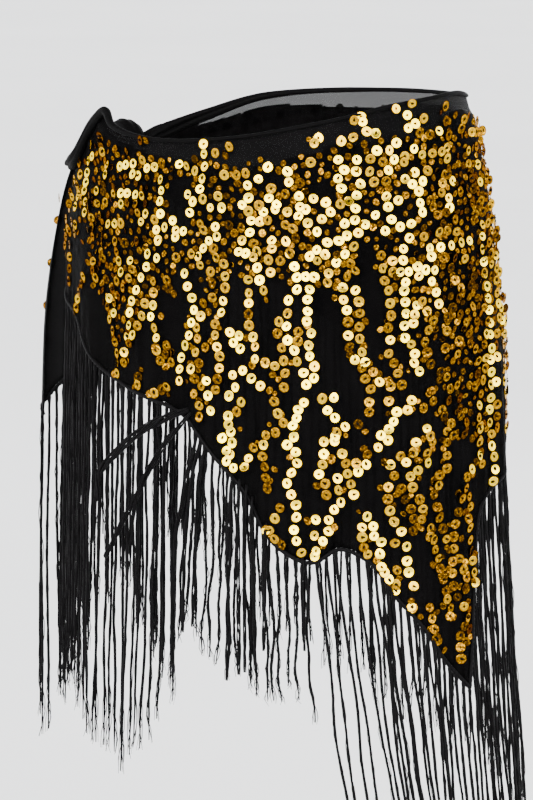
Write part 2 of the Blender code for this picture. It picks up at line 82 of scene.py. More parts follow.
# Rings round the hips.  Columns: height, half_width, front_depth, back_depth, centre_x.
HIP_RINGS = (
    (-0.750, 0.1780, 0.1210, 0.1295, 0.0070),
    (-0.450, 0.1780, 0.1210, 0.1295, 0.0070),
    (-0.210, 0.1760, 0.1210, 0.1295, 0.0060),
    (-0.140, 0.1735, 0.1210, 0.1295, 0.0050),
    (-0.095, 0.1715, 0.1190, 0.1270, 0.0030),
    (-0.065, 0.1685, 0.1170, 0.1250, 0.0015),
    (-0.035, 0.1640, 0.1130, 0.1210, 0.0005),
    (0.000, 0.1530, 0.1090, 0.1170, 0.0000),
    (0.030, 0.1440, 0.1060, 0.1130, 0.0000),
)
HIP_ARC = 0.0026          # distance round the hips for one degree
FIRST_ANGLE, LAST_ANGLE = -93.0, 247.0
ROLL_REACH = 6.0          # degrees that the waist roll runs on into the knot
POINT_ANGLE = 85.4        # where the middle point of the scarf hangs

# Upper edge and the rolled hem on it.  Columns: angle, roll_top, roll_radius.
WAIST_EDGE = (
    (-93.0, -0.0195, 0.0060),
    (-84.0, -0.0230, 0.0060),
    (-76.0, -0.0300, 0.0060),
    (-68.0, -0.0345, 0.0058),
    (-60.0, -0.0355, 0.0056),
    (-52.0, -0.0325, 0.0052),
    (-47.0, -0.0270, 0.0048),
    (-43.0, -0.0165, 0.0044),
    (-40.0, -0.0080, 0.0041),
    (-36.0, -0.0002, 0.0037),
    (-31.0, 0.0052, 0.0033),
    (-26.0, -0.0044, 0.0026),
    (-14.6, -0.0114, 0.0018),
    (0.0, -0.0132, 0.0016),
    (18.0, -0.0094, 0.0016),
    (32.0, -0.0035, 0.0016),
    (52.0, 0.0060, 0.0016),
    (68.0, 0.0136, 0.0016),
    (90.0, 0.0188, 0.0016),
    (104.0, 0.0199, 0.0016),
    (125.0, 0.0150, 0.0016),
    (180.0, 0.0120, 0.0018),
    (215.0, 0.0060, 0.0028),
    (235.0, -0.0080, 0.0050),
    (247.0, -0.0180, 0.0062),
)
# Lower edge, down to the point at the left side and up again.  Columns: angle, hem_height.
HEM_TO_POINT = (
    (-93.0, -0.0660),
    (-82.0, -0.0900),
    (-68.0, -0.1210),
    (-56.0, -0.1400),
    (-43.7, -0.1495),
    (-37.0, -0.1630),
    (-24.5, -0.1830),
    (-6.8, -0.1970),
    (3.8, -0.2070),
    (9.7, -0.2248),
    (20.4, -0.2580),
    (25.8, -0.2856),
    (31.9, -0.3002),
    (38.0, -0.3052),
    (45.1, -0.2955),
    (53.7, -0.3060),
    (59.7, -0.3277),
    (67.8, -0.3501),
    (74.7, -0.3729),
    (85.4, -0.3995),
)
HEM_FROM_POINT = (
    (85.4, -0.3995),
    (87.2, -0.3595),
    (89.2, -0.3256),
    (91.5, -0.2840),
    (95.5, -0.2670),
    (102.0, -0.2580),
    (112.0, -0.2487),
    (135.0, -0.2260),
    (160.0, -0.2080),
    (185.0, -0.1850),
    (208.0, -0.1500),
    (228.0, -0.1080),
    (247.0, -0.0660),
)
# Soft folds that stand out from the hips.
# Columns: start_angle, start_height, end_angle, end_height, half_width, rise.
FOLDS = (
    (-28.0, -0.022, 40.0, -0.040, 0.0110, 0.0022),
    (14.0, -0.028, 62.0, -0.012, 0.0100, 0.0026),
    (70.0, -0.012, 118.0, -0.014, 0.0110, 0.0030),
    (150.0, -0.030, 206.0, -0.036, 0.0120, 0.0024),
    (-62.0, -0.090, -58.0, -0.150, 0.0170, 0.0040),
    (-34.0, -0.120, -31.0, -0.180, 0.0160, 0.0030),
    (-12.0, -0.130, -9.0, -0.205, 0.0170, 0.0034),
    (8.0, -0.150, 14.0, -0.240, 0.0150, 0.0030),
    (28.0, -0.190, 33.0, -0.310, 0.0180, 0.0040),
    (47.0, -0.200, 52.0, -0.310, 0.0150, 0.0032),
    (66.0, -0.220, 71.0, -0.360, 0.0170, 0.0036),
    (80.0, -0.240, 86.0, -0.400, 0.0130, 0.0040),
    (104.0, -0.170, 108.0, -0.260, 0.0170, 0.0042),
    (128.0, -0.150, 131.0, -0.235, 0.0190, 0.0044),
    (153.0, -0.130, 155.0, -0.215, 0.0170, 0.0036),
    (178.0, -0.120, 177.0, -0.195, 0.0200, 0.0044),
    (203.0, -0.100, 200.0, -0.160, 0.0170, 0.0036),
)
# Thin creases dragged along the waist band, with the same columns.
WAIST_CREASES = (
    (-46.0, -0.020, -20.0, -0.030, 0.0030, 0.0016),
    (-38.0, -0.006, -16.0, -0.022, 0.0028, 0.0016),
    (-24.0, -0.026, 14.0, -0.034, 0.0030, 0.0011),
    (6.0, -0.0265, 29.0, -0.0260, 0.0026, 0.0013),
    (18.0, -0.0190, 52.0, -0.0010, 0.0022, 0.0013),
    (34.0, -0.0200, 66.0, -0.0060, 0.0030, 0.0012),
    (58.0, 0.0010, 84.0, 0.0030, 0.0030, 0.0014),
    (72.0, 0.0070, 98.0, 0.0125, 0.0026, 0.0016),
    (80.0, -0.0060, 106.0, 0.0030, 0.0030, 0.0016),
    (108.0, 0.0020, 150.0, -0.0060, 0.0032, 0.0014),
    (128.0, -0.0090, 176.0, -0.0060, 0.0034, 0.0014),
    (160.0, -0.0160, 214.0, -0.0180, 0.0030, 0.0013),
    (196.0, -0.0070, 238.0, -0.0290, 0.0034, 0.0016),
    (-88.0, -0.036, -64.0, -0.046, 0.0034, 0.0018),
    (-90.0, -0.048, -70.0, -0.068, 0.0034, 0.0018),
    (224.0, -0.050, 245.0, -0.040, 0.0034, 0.0018),
)
# Pleats where the cloth is gathered into the knot, and how far round they reach.
GATHER_WAVES = 2
GATHER_DEPTH = 0.0023
GATHER_REACH = 13.0
# Finer relief of the mesh itself: its crinkle, the wavy hem and small pleats at the knot.
CRINKLE = 0.00022
HEM_RIPPLE = 0.0007
FINE_PLEATS = 5.5
FINE_PLEAT_DEPTH = 0.0009

# ---- Fringe ---------------------------------------------------------------------------------
STRAND_PITCH = 0.0078     # between the roots of two strands
LEAST_STEP = 1.35         # the least angle between them, where the hem is steep

# How the strands fall from the hem.  Columns: angle, length, lean, flare.
FRINGE_FALL = (
    (-93.0, 0.250, 0.000, 0.006),
    (-60.0, 0.270, 0.000, 0.004),
    (-20.0, 0.270, -0.003, 0.003),
    (-4.0, 0.255, -0.006, 0.003),
    (6.0, 0.150, -0.006, 0.004),
    (16.0, 0.150, 0.000, 0.004),
    (26.0, 0.118, 0.003, 0.003),
    (36.0, 0.112, 0.006, 0.003),
    (40.0, 0.270, 0.036, 0.005),
    (52.0, 0.270, 0.040, 0.008),
    (66.0, 0.270, 0.034, 0.012),
    (84.0, 0.270, 0.030, 0.018),
    (102.0, 0.270, 0.012, 0.024),
    (140.0, 0.270, 0.004, 0.014),
    (200.0, 0.270, 0.000, 0.008),
    (247.0, 0.250, 0.000, 0.006),
)
# How much of its lean and flare a strand has at these shares of its length.
FALL_DROPS = (0.0, 0.10, 0.50, 1.0)
FALL_SWINGS = (0.0, 0.06, 0.42, 1.0)
# Runs of the fringe.  Columns: node, first_angle, last_angle.
FRINGE_RUNS = (
    ("fringe_front", FIRST_ANGLE, 38.5),
    ("fringe_point", 38.5, POINT_ANGLE),
    ("fringe_side", POINT_ANGLE, 140.0),
    ("fringe_back", 140.0, LAST_ANGLE),
)
# Loose locks that lie swept over the front, each a twist of threads.
# Columns: threads, half_width, half_depth, proud, then marks across and down along the lock.
LOCKS = (
    (18, 0.0034, 0.0014, 0.0075, 184, 410, 160, 420, 133, 437, 112, 458, 101, 474, 98, 500),
    (10, 0.0021, 0.0017, 0.0075, 186, 414, 168, 440, 150, 470, 136, 500, 125, 520, 115, 540,
     107, 557),
    (4, 0.0011, 0.0009, 0.0070, 155, 461, 141, 486, 135, 519, 133, 545),
    (7, 0.0016, 0.0014, 0.0060, 192, 436, 184, 499, 176, 533, 174, 570, 173, 610),
    (6, 0.0014, 0.0012, 0.0060, 196, 440, 190, 500, 185, 560, 184, 632),
    (6, 0.0013, 0.0012, 0.0060, 200, 446, 198, 510, 196, 560, 193, 627),
    (7, 0.0015, 0.0013, 0.0060, 229, 475, 228, 580, 227, 680),
    (6, 0.0014, 0.0013, 0.0060, 236, 480, 238, 580, 239, 675),
    (5, 0.0012, 0.0011, 0.0060, 243, 486, 244, 580, 245, 672),
    (6, 0.0013, 0.0012, 0.0060, 249, 497, 253, 570, 255, 661),
    (5, 0.0013, 0.0012, 0.0060, 263, 524, 264, 580, 264, 651),
    (5, 0.0013, 0.0012, 0.0060, 301, 559, 303, 600, 305, 651),
)
SWEPT_ROOTS = (-1.1, 4.5)   # part of the hem whose strands lie in the two swept locks
LOCK_PROUD = 0.006          # how far the locks' charts are read out from the cloth
THREAD_FLARE = 0.6          # how much of the solid strands' flare the threads take
ROOT_DROP = 0.0012          # how far below the hem's edge a strand starts
LENGTH_SPREAD = 0.045       # how much the strands differ in length, as a share of it
STRAND_STRAY = 0.0022       # how far a strand's end strays from the fall of the table
LONG_WAVE, SHORT_WAVE = 0.0012, 0.0005   # how far a strand wanders sideways
CLUMP_ANGLE, TAIL_CLUMP = 3.4, 0.09   # width of one clump on the hem, and as a share of a tail
LOCK_STATIONS, LOCK_TURNS = 34, 75.0  # places down a lock, and its twist in radians a metre
THREAD_SIDES, LOCK_SIDES = 3, 5
# Places down a strand, as shares of its length, with more of them at its knot.
STATIONS = np.concatenate(((0.0, 0.008, 0.017, 0.028), np.linspace(0.045, 1.0, 26)))
# Twisted cords.  Columns: sides, plies, depth of their grooves, turns in radians a metre.
STRAND_TWIST = (9, 3, 0.28, 330.0)
BRAID_TWIST = (10, 3, 0.35, 620.0)
TAIL_BRAID_TWIST = (8, 3, 0.35, 620.0)
BRAID_DROP = 0.0016         # how far the middle of the braid hangs under the hem's edge
TAIL_BRAID_DROP = 0.0014
# Places along the braid, closer together at the point.  Columns: first_angle, last_angle, count.
BRAID_RUNS = (
    (FIRST_ANGLE + 0.3, 84.0, 620),
    (84.1, 97.0, 170),
    (97.2, LAST_ANGLE - 0.3, 520),
)

# ---- Sequins --------------------------------------------------------------------------------
# Strings across the front and the left side, as marks across and down for each bend.
# These sequins get a pale tone, which paints a highlight on them.
HIGHLIGHT_PAINTED_STRINGS = (
    (148, 254, 147, 264, 133, 297, 130, 320, 127, 337),
    (158, 241, 158, 258),
    (185, 275, 192, 297, 194, 313, 192, 326, 190, 335, 187, 343, 183, 354, 181, 364, 179, 381),
    (207, 381, 212, 411),
    (231, 331, 240, 336, 233, 343, 241, 349),
    (254, 258, 258, 270, 260, 281, 263, 291),
    (290, 254, 298, 273, 297, 289, 302, 297, 309, 302, 307, 310, 305, 319, 313, 330, 310, 341, 307, 353,
     316, 364, 313, 372, 315, 381, 306, 385),
    (306, 276, 312, 270, 315, 281, 310, 290),
    (289, 302, 287, 314, 287, 327, 288, 340, 295, 352, 297, 365, 303, 373),
    (261, 386, 243, 371, 233, 374, 236, 386, 229, 396),
    (241, 402, 235, 416, 225, 417, 227, 423, 234, 431, 222, 437, 234, 444, 224, 452, 233, 456, 225, 460,
     235, 467),
    (248, 459, 245, 466),
    (305, 403, 297, 406, 300, 417, 291, 419, 294, 431, 294, 441, 287, 445, 297, 452, 297, 466, 289, 475,
     288, 486, 295, 501, 296, 517, 295, 530, 297, 543, 301, 552),
    (334, 398, 322, 399, 326, 410, 336, 418, 347, 427, 332, 435, 341, 440, 324, 441, 324, 453),
    (339, 478, 339, 490, 342, 503, 331, 511, 328, 523, 327, 535, 317, 549, 315, 563),
    (316, 520, 315, 537),
    (366, 464, 358, 472),
    (404, 249, 404, 261, 400, 270, 404, 281, 409, 286, 402, 294, 406, 306, 406, 319, 404, 326, 406, 333,
     404, 342, 412, 344, 415, 355, 417, 361, 413, 365, 419, 372),
    (409, 271, 422, 266, 426, 270, 419, 277),
    (416, 304, 414, 313, 413, 323),
    (431, 256, 435, 268, 431, 279, 433, 288, 438, 294, 439, 304),
    (412, 400, 407, 410, 397, 409, 392, 420, 396, 423, 388, 429, 380, 435, 389, 439, 379, 447),
    (407, 547, 406, 564, 410, 574, 415, 586),
    (366, 517, 374, 527, 372, 537, 382, 539, 379, 549, 380, 557, 383, 574, 385, 586, 393, 594, 400, 599,
     396, 605),
    (93, 146, 93, 156, 88, 162, 88, 172, 86, 190, 78, 197, 76, 206),
    (121, 166, 135, 163, 133, 176, 139, 176),
    (161, 179, 162, 189, 160, 201, 161, 213),
    (114, 194, 125, 192, 133, 194, 143, 196),
    (108, 224, 121, 223),
    (155, 219, 156, 226, 158, 231, 158, 240),
    (165, 228, 174, 220, 175, 232, 173, 240, 184, 232),
    (204, 145, 206, 157, 205, 168, 201, 182, 200, 193, 203, 202, 210, 208),
    (188, 195, 193, 201, 190, 211),
    (219, 197, 222, 209),
    (215, 227, 217, 237, 205, 243, 204, 249),
    (248, 186, 249, 197, 241, 206, 251, 212, 251, 223, 250, 233, 242, 241, 238, 254, 246, 254),
    (268, 168, 258, 178),
    (271, 189, 267, 197, 281, 206, 271, 210, 261, 213, 259, 206),
    (288, 172, 288, 183),
    (299, 196, 308, 197, 317, 198, 326, 203),
    (300, 207, 308, 208, 298, 216, 308, 221),
    (331, 213, 319, 222, 318, 232),
    (312, 162),
    (341, 142),
    (338, 160, 346, 171, 337, 179, 341, 189),
    (357, 159, 356, 173, 361, 187, 356, 200, 355, 215, 356, 223, 345, 223),
    (365, 225, 356, 236, 344, 236, 336, 244, 326, 243, 317, 250, 327, 255, 316, 262, 309, 256),
    (354, 247, 350, 254, 342, 256, 336, 262),
    (360, 114, 363, 123),
    (367, 133, 375, 134),
    (377, 151, 390, 151, 394, 160),
    (397, 144, 404, 145, 413, 148),
    (397, 109, 408, 118, 408, 129, 415, 125),
    (411, 103),
    (385, 197, 399, 201, 389, 206, 376, 215),
    (405, 179, 412, 185),
    (423, 182, 419, 193, 420, 204, 422, 213),
    (385, 231, 391, 220, 401, 227, 412, 224),
    (409, 237, 424, 237),
    (469, 242, 457, 245, 441, 247, 430, 247),
)
GOLD_STRINGS = (
    (84, 277, 78, 301, 75, 314),
    (93, 261, 92, 270, 97, 278),
    (116, 240, 117, 253, 120, 265, 121, 272, 117, 283, 114, 289, 107, 307),
    (130, 261, 134, 273, 121, 294, 114, 303, 114, 312, 110, 320),
    (114, 330, 116, 345, 118, 356, 116, 374),
    (145, 305, 141, 321, 124, 354, 124, 363),
    (154, 281, 153, 305, 151, 317, 156, 328, 157, 341, 156, 353, 160, 361),
    (168, 386, 155, 393),
    (204, 305, 195, 337, 205, 347, 195, 352, 200, 362, 190, 371, 202, 387, 195, 394, 200, 403,
     199, 417),
    (211, 272, 214, 286, 213, 298),
    (215, 323, 215, 336, 219, 352, 219, 365, 215, 390),
    (224, 265, 226, 280, 225, 289, 224, 297, 222, 313),
    (249, 280, 249, 290, 248, 301, 249, 309, 248, 322, 251, 334, 257, 341, 253, 352, 255, 359, 266, 364,
     275, 367),
    (271, 273, 280, 261),
    (279, 322, 278, 337, 282, 349, 285, 377, 284, 387),
    (298, 332, 297, 342),
    (328, 274, 328, 282),
    (347, 277, 340, 294, 346, 303, 348, 316, 348, 328, 348, 340, 351, 354, 357, 363, 366, 372, 364, 381,
     370, 389, 369, 401),
    (356, 290, 359, 300, 359, 307, 361, 318, 360, 331, 360, 341, 362, 353, 366, 363, 373, 372,
     379, 382),
    (254, 448, 266, 445, 267, 433, 278, 431, 283, 422, 278, 411, 274, 401),
    (280, 507, 274, 520, 270, 531, 267, 544, 267, 557),
    (276, 546, 282, 553),
    (342, 454, 320, 465, 319, 475, 324, 482, 327, 495),
    (346, 463, 347, 473, 351, 485, 353, 494),
    (367, 456, 357, 463),
    (381, 257, 383, 267, 382, 278, 389, 284, 388, 297, 391, 310, 391, 320, 388, 330, 391, 343, 388, 355,
     396, 364, 398, 376, 402, 385),
    (390, 387, 388, 401),
    (392, 260, 392, 272),
    (459, 342, 457, 355),
    (427, 430, 425, 436, 435, 437, 429, 446, 426, 454, 429, 462, 421, 469, 410, 473, 411, 486, 420, 494,
     422, 504, 423, 513, 422, 521),
    (416, 442, 412, 458, 405, 464, 400, 456),
    (391, 464, 395, 472, 393, 481, 386, 489, 389, 502, 391, 514, 394, 521, 402, 527, 401, 536,
     396, 542),
    (471, 469, 464, 481, 465, 489, 469, 496, 471, 505, 469, 514, 467, 523, 470, 529, 469, 541, 471, 549,
     472, 559, 474, 568, 475, 585),
    (362, 527, 364, 548, 368, 557),
    (398, 570, 397, 584),
    (412, 609, 413, 619),
    (479, 426, 479, 434, 479, 456),
    (106, 152, 108, 171, 102, 178, 97, 187, 97, 197, 98, 207, 100, 215),
    (80, 163, 80, 175, 78, 186, 82, 200, 90, 202, 85, 213),
    (144, 160, 145, 168, 153, 168, 163, 164),
    (121, 204, 136, 204),
    (76, 225, 75, 233),
    (93, 218, 94, 226, 88, 228, 93, 236),
    (139, 212, 146, 214, 141, 222),
    (197, 170, 180, 164),
    (201, 223, 204, 230),
    (191, 253, 202, 258, 200, 265),
    (214, 248, 214, 257, 224, 264),
    (225, 176, 235, 178, 238, 171, 247, 174),
    (260, 221, 268, 220),
    (340, 204, 349, 200),
    (288, 213, 288, 220, 285, 230, 296, 229, 296, 239, 286, 240, 290, 254, 281, 261),
    (314, 145, 319, 137),
    (350, 264, 356, 271),
    (271, 240, 273, 250, 268, 260),
    (254, 243, 258, 252),
    (232, 148),
    (354, 122, 353, 140),
    (421, 119),
    (418, 134, 428, 136, 439, 131, 447, 137),
    (370, 159, 388, 164, 388, 170),
    (404, 156, 404, 163),
    (369, 172, 367, 180, 379, 186, 386, 181),
    (415, 171, 427, 171),
    (422, 155, 433, 153, 440, 153, 447, 147, 447, 160),
    (430, 201, 433, 207),
    (441, 194, 449, 200, 449, 208),
    (442, 185, 444, 170, 448, 177, 452, 183),
    (438, 232, 443, 233, 456, 231, 455, 220),
    (474, 122, 478, 130, 470, 133),
    (485, 172, 485, 186),
)
# These sequins get a deep amber tone, which paints shade on them.
SHADE_PAINTED_STRINGS = (
    (168, 282, 169, 288),
    (167, 345, 165, 354, 172, 362),
    (140, 376, 139, 385),
    (264, 456, 268, 488),
    (358, 424, 369, 419, 368, 413),
    (422, 302, 427, 311, 433, 317, 433, 324, 427, 332, 424, 341, 426, 353, 431, 364),
    (431, 391, 435, 401, 423, 409),
    (444, 259, 453, 273, 455, 282, 462, 289, 457, 300, 448, 312, 447, 322, 447, 331),
    (440, 371, 446, 372, 447, 382, 450, 389, 447, 398, 447, 407, 438, 412, 445, 418, 454, 429,
     453, 436),
    (455, 259, 467, 257, 470, 269, 474, 279, 470, 286),
    (457, 386, 461, 408, 456, 414, 467, 419, 463, 435),
    (460, 314, 466, 322, 468, 332, 467, 342, 475, 347, 477, 355, 477, 368, 477, 376, 475, 386),
    (402, 489, 405, 497, 406, 505, 414, 513, 414, 531),
    (447, 432, 446, 445, 446, 470, 439, 473, 440, 484, 434, 493, 436, 506, 438, 516, 441, 523, 444, 531,
     446, 540),
    (430, 529, 434, 531, 427, 540, 434, 541, 433, 550, 439, 552, 437, 561, 440, 572, 443, 580,
     445, 590),
    (462, 499, 460, 507, 456, 524, 454, 543, 454, 556, 451, 563, 452, 572, 454, 591, 461, 599, 465, 607,
     467, 616, 469, 629),
    (459, 560, 465, 576, 466, 589),
    (429, 607, 432, 621, 437, 652),
    (446, 600, 452, 611, 449, 616),
    (464, 626, 461, 635, 460, 643, 461, 657),
    (141, 141),
    (217, 156),
    (286, 193, 300, 184),
    (231, 225, 241, 228),
    (443, 107, 443, 123),
    (443, 223, 437, 215, 446, 213),
    (460, 192, 467, 188, 478, 190, 480, 204, 471, 203),
    (474, 215, 473, 222),
    (468, 152, 468, 162, 468, 170, 471, 178),
    (482, 152, 481, 162),
    (492, 172, 493, 180),
    (495, 195, 497, 208, 499, 225, 501, 240, 503, 255),
    (491, 218, 493, 240, 490, 255),
)
# The tone paints light on the sequins: high tones are a painted highlight, low tones painted shade.
# Columns: tone, chance of a small sequin beside each one, strings.
STRING_TONES = (
    (0.92, 0.25, HIGHLIGHT_PAINTED_STRINGS),
    (0.56, 0.5, GOLD_STRINGS),
    (0.26, 0.9, SHADE_PAINTED_STRINGS),
)
# Where the ground between the strings is filled too.  The small ones show only in part, under
# the edges of the others, and their low tones paint shade on them.
# Columns: first_angle, last_angle, top_share, spacing, lowest_tone, highest_tone, small.
SEQUIN_FILL = (
    (-30.0, 98.0, 0.09, 0.0118, 0.05, 0.55, False),
    (98.0, 245.0, 0.08, 0.0096, 0.05, 0.9, False),
    (-52.0, -30.0, 0.10, 0.0150, 0.05, 0.9, False),
    (-91.0, -52.0, 0.10, 0.0100, 0.05, 0.9, False),
    (-33.0, 98.0, 0.07, 0.0055, 0.0, 0.36, True),
    (98.0, 245.0, 0.07, 0.0068, 0.0, 0.36, True),
    (-91.0, -33.0, 0.10, 0.0100, 0.0, 0.36, True),
)
# How far down that ground reaches.  Columns: angle, share of the way to the hem.
FILL_EDGE = (
    (-91.0, 0.50),
    (-40.0, 0.50),
    (-26.0, 0.70),
    (-18.0, 0.84),
    (-10.0, 0.74),
    (-3.0, 0.56),
    (5.0, 0.40),
    (10.5, 0.48),
    (16.0, 0.38),
    (23.0, 0.36),
    (28.0, 0.29),
    (33.0, 0.36),
    (48.0, 0.33),
    (54.0, 0.25),
    (59.0, 0.34),
    (68.0, 0.35),
    (76.0, 0.42),
    (87.0, 0.62),
    (97.0, 0.88),
    (103.0, 0.50),
    (245.0, 0.46),
)
# How freely the sequins tip on their threads, and how far they fan out sideways.
# Columns: angle, share of the full tipping, fan in degrees.
SEQUIN_TIPPING = (
    (-91.0, 0.6, -44.0),
    (-60.0, 0.6, -44.0),
    (-44.0, 1.0, -16.0),
    (-30.0, 1.0, 0.0),
    (92.0, 1.0, 0.0),
    (104.0, 0.8, 36.0),
    (156.0, 0.8, 36.0),
    (170.0, 0.35, 0.0),
    (245.0, 0.35, 0.0),
)
# Round patches with nothing sewn in them.  Columns: angle, height, half_width, half_height.
BARE_PATCHES = (
    (4.0, -0.058, 0.013, 0.018),
    (32.0, -0.040, 0.022, 0.008),
    (43.0, -0.050, 0.009, 0.012),
    (52.0, -0.070, 0.009, 0.006),
    (62.0, -0.062, 0.008, 0.010),
    (-8.0, -0.100, 0.006, 0.007),
)
# Strings that hang below the filled ground where the front's own strings don't reach.
# Columns: first_angle, last_angle, shortest_step, longest_step, top_share.
HANGING_STRINGS = (
    (-91.0, -50.0, 3.4, 7.0, 0.50),
    (97.0, 244.0, 2.8, 6.6, 0.40),
)
# Columns: piece, first_angle, last_angle.
SEQUIN_PIECES = (
    ("sequins_right_hip", -94.0, -20.0),
    ("sequins_front", -20.0, 50.0),
    ("sequins_left_hip", 50.0, 110.0),
    ("sequins_back", 110.0, 180.0),
    ("sequins_back_right", 180.0, 248.0),
)
SEQUIN_PITCH = 0.0086       # along a string
SEQUIN_PROUD = 0.001        # how far the strings' charts are read out from the cloth
SEQUIN_OUT = 0.003          # how far out from the hips the spaces between sequins are measured
SEQUIN_SKIN = 0.00012       # thickness of one sequin
FULL_TRIES, SMALL_TRIES = 200, 300   # places tried for each degree of the filled ground
MOST_SEQUINS = 12000        # room kept for their places
UNEVEN_ANGLE, UNEVEN_HEIGHT = 0.12, 0.0004   # how far off its place a sequin is sewn
# Sequins brighter than this tone lean back and catch the light, and the others lean forward.
# The leans are in degrees: the mean, and how much they spread.
BRIGHT_TONE, BRIGHT_PITCH, DARK_PITCH = 0.7, (8.9, 3.4), (-5.0, 4.0)
MOST_TIP = 24.0             # degrees that a sequin tips at the most, before the fan
SMALL_OFFSETS = (0.0050, 0.0068)   # how far a small sequin lies from the one it is beside
# Columns: sides, range of sizes, narrowest squash, share of the hole, least lift off the cloth.
FULL_SEQUIN = (14, (0.94, 1.06), 0.88, 1.0, 0.0008)
SMALL_SEQUIN = (9, (0.48, 0.85), 0.72, 0.4, 0.0001)

# ---- Knot -----------------------------------------------------------------------------------
KNOT_ANGLE = 257.0
KNOT_HEIGHT = -0.0420
KNOT_INSET = 0.35           # angle left free between the bundle and each end of the wrap
KNOT_LIFT = 0.0048          # how far the middle of the bundle arches out
# The bundle from one end of the wrap to the other.
# Columns: share of the way, half_height, half_thickness.
BUNDLE_SECTIONS = (
    (0.00, 0.0235, 0.0040),
    (0.12, 0.0215, 0.0065),
    (0.26, 0.0160, 0.0090),
    (0.36, 0.0130, 0.0098),
    (0.50, 0.0130, 0.0100),
    (0.64, 0.0130, 0.0098),
    (0.74, 0.0160, 0.0090),
    (0.88, 0.0215, 0.0065),
    (1.00, 0.0235, 0.0040),
)
LOOP_HALF_WIDTH = 0.0086
LOOP_OUTER_RADIUS = 0.0072
LOOP_INNER_RADIUS = 0.0016
LOOP_CLEARANCE = 0.0018     # between the loop and the bundle inside it
BUNDLE_REACH = 1.09         # how far the bundle's pleats stand out, as a share of its size
BUNDLE_STATIONS, BUNDLE_SIDES = 49, 60
LOOP_STATIONS, LOOP_SIDES = 72, 36

# ---- Tails ----------------------------------------------------------------------------------
# The plain edge of each tail and its fringed side, from the knot down to the tip.
# Columns: plain_x, plain_y, plain_z, fringed_x, fringed_y, fringed_z, pleat_depth.
TAIL_FRONT = (
    (-0.1895, 0.0259, -0.028, -0.1885, 0.0259, -0.058, 0.0008),
    (-0.1925, 0.0060, -0.033, -0.1900, 0.0255, -0.070, 0.0018),
    (-0.1950, -0.0105, -0.055, -0.1905, 0.0290, -0.080, 0.0030),
    (-0.1985, -0.0210, -0.095, -0.1910, 0.0330, -0.090, 0.0040),
    (-0.2010, -0.0315, -0.160, -0.1915, 0.0370, -0.099, 0.0046),
    (-0.2020, -0.0350, -0.237, -0.1920, 0.0410, -0.108, 0.0048),
)
TAIL_BACK = (
    (-0.1895, 0.0476, -0.028, -0.1885, 0.0476, -0.058, 0.0008),
    (-0.1840, 0.0640, -0.033, -0.1880, 0.0490, -0.070, 0.0018),
    (-0.1800, 0.0760, -0.055, -0.1885, 0.0475, -0.082, 0.0030),
    (-0.1775, 0.0850, -0.095, -0.1890, 0.0460, -0.094, 0.0040),
    (-0.1760, 0.0930, -0.155, -0.1895, 0.0450, -0.106, 0.0046),
    (-0.1760, 0.0960, -0.226, -0.1900, 0.0440, -0.118, 0.0048),
)
# Columns: side, table, flat_width, flat_length, flat_area.
TAILS = (
    ("front", TAIL_FRONT, 0.095, 0.232, 0.0106),
    ("back", TAIL_BACK, 0.090, 0.214, 0.0092),
)
TAIL_FACING = (-1.0, 0.0, 0.0)   # the way the outer faces of the tails look
TAIL_PLEATS = 3.5
TAIL_COLUMNS, TAIL_ROWS = 84, 60
TAIL_STRANDS = 21
# Strings of sequins down a tail, placed by shares of its length.
TAIL_STRINGS, TAIL_STRING_TOP, TAIL_STRING_END = 6, 0.16, 0.93
TAIL_STRING_STEPS = (0.075, 0.16)
TAIL_TIPPING = (0.7, 0.0)   # the same two columns as SEQUIN_TIPPING
TAIL_FRINGE_LENGTH = 0.250
TAIL_FRINGE_FLARE = 0.003


# ---- Reading the tables ---------------------------------------------------------------------
def smooth_column(table, key, column):
    """One column of a table, read on a smooth curve through its rows, for one key or many."""
    rows = np.array([row[:column + 1] for row in table])
    keys, values = rows[:, 0], rows[:, column]
    count = len(rows)
    low, high = np.maximum(np.arange(count) - 1, 0), np.minimum(np.arange(count) + 1, count - 1)
    slopes = (values[high] - values[low]) / (keys[high] - keys[low])
    key = np.clip(key, keys[0], keys[-1])
    here = np.clip(np.searchsorted(keys, key, side="right") - 1, 0, count - 2)
    span = keys[here + 1] - keys[here]
    f = (key - keys[here]) / span
    return (values[here] * (2 * f ** 3 - 3 * f ** 2 + 1)
            + values[here + 1] * (3 * f ** 2 - 2 * f ** 3)
            + slopes[here] * span * (f ** 3 - 2 * f ** 2 + f)
            + slopes[here + 1] * span * (f ** 3 - f ** 2))


def straight_column(table, key, column):
    """One column of a table, read on straight lines between its rows."""
    rows = np.array([row[:column + 1] for row in table])
    return np.interp(key, rows[:, 0], rows[:, column])


def unit(vectors):
    """The same directions, one metre long."""
    return vectors / np.maximum(np.linalg.norm(vectors, axis=-1, keepdims=True), 1e-12)


def even_turn(count):
    """This many directions evenly round a full turn, in radians."""
    return 2.0 * math.pi * np.arange(count) / count


def length_along(points):
    """Distance from the start of a line to each of its points, or for many lines at once."""
    steps = np.linalg.norm(np.diff(points, axis=-2), axis=-1)
    return np.concatenate((np.zeros((*steps.shape[:-1], 1)), np.cumsum(steps, axis=-1)), axis=-1)


def round_centre(centre, across, lift, width, depth, turn):
    """Points turned round a centre, width away along across and depth away along lift."""
    return (centre + (width * np.cos(turn))[..., None] * across
            + (depth * np.sin(turn))[..., None] * lift)


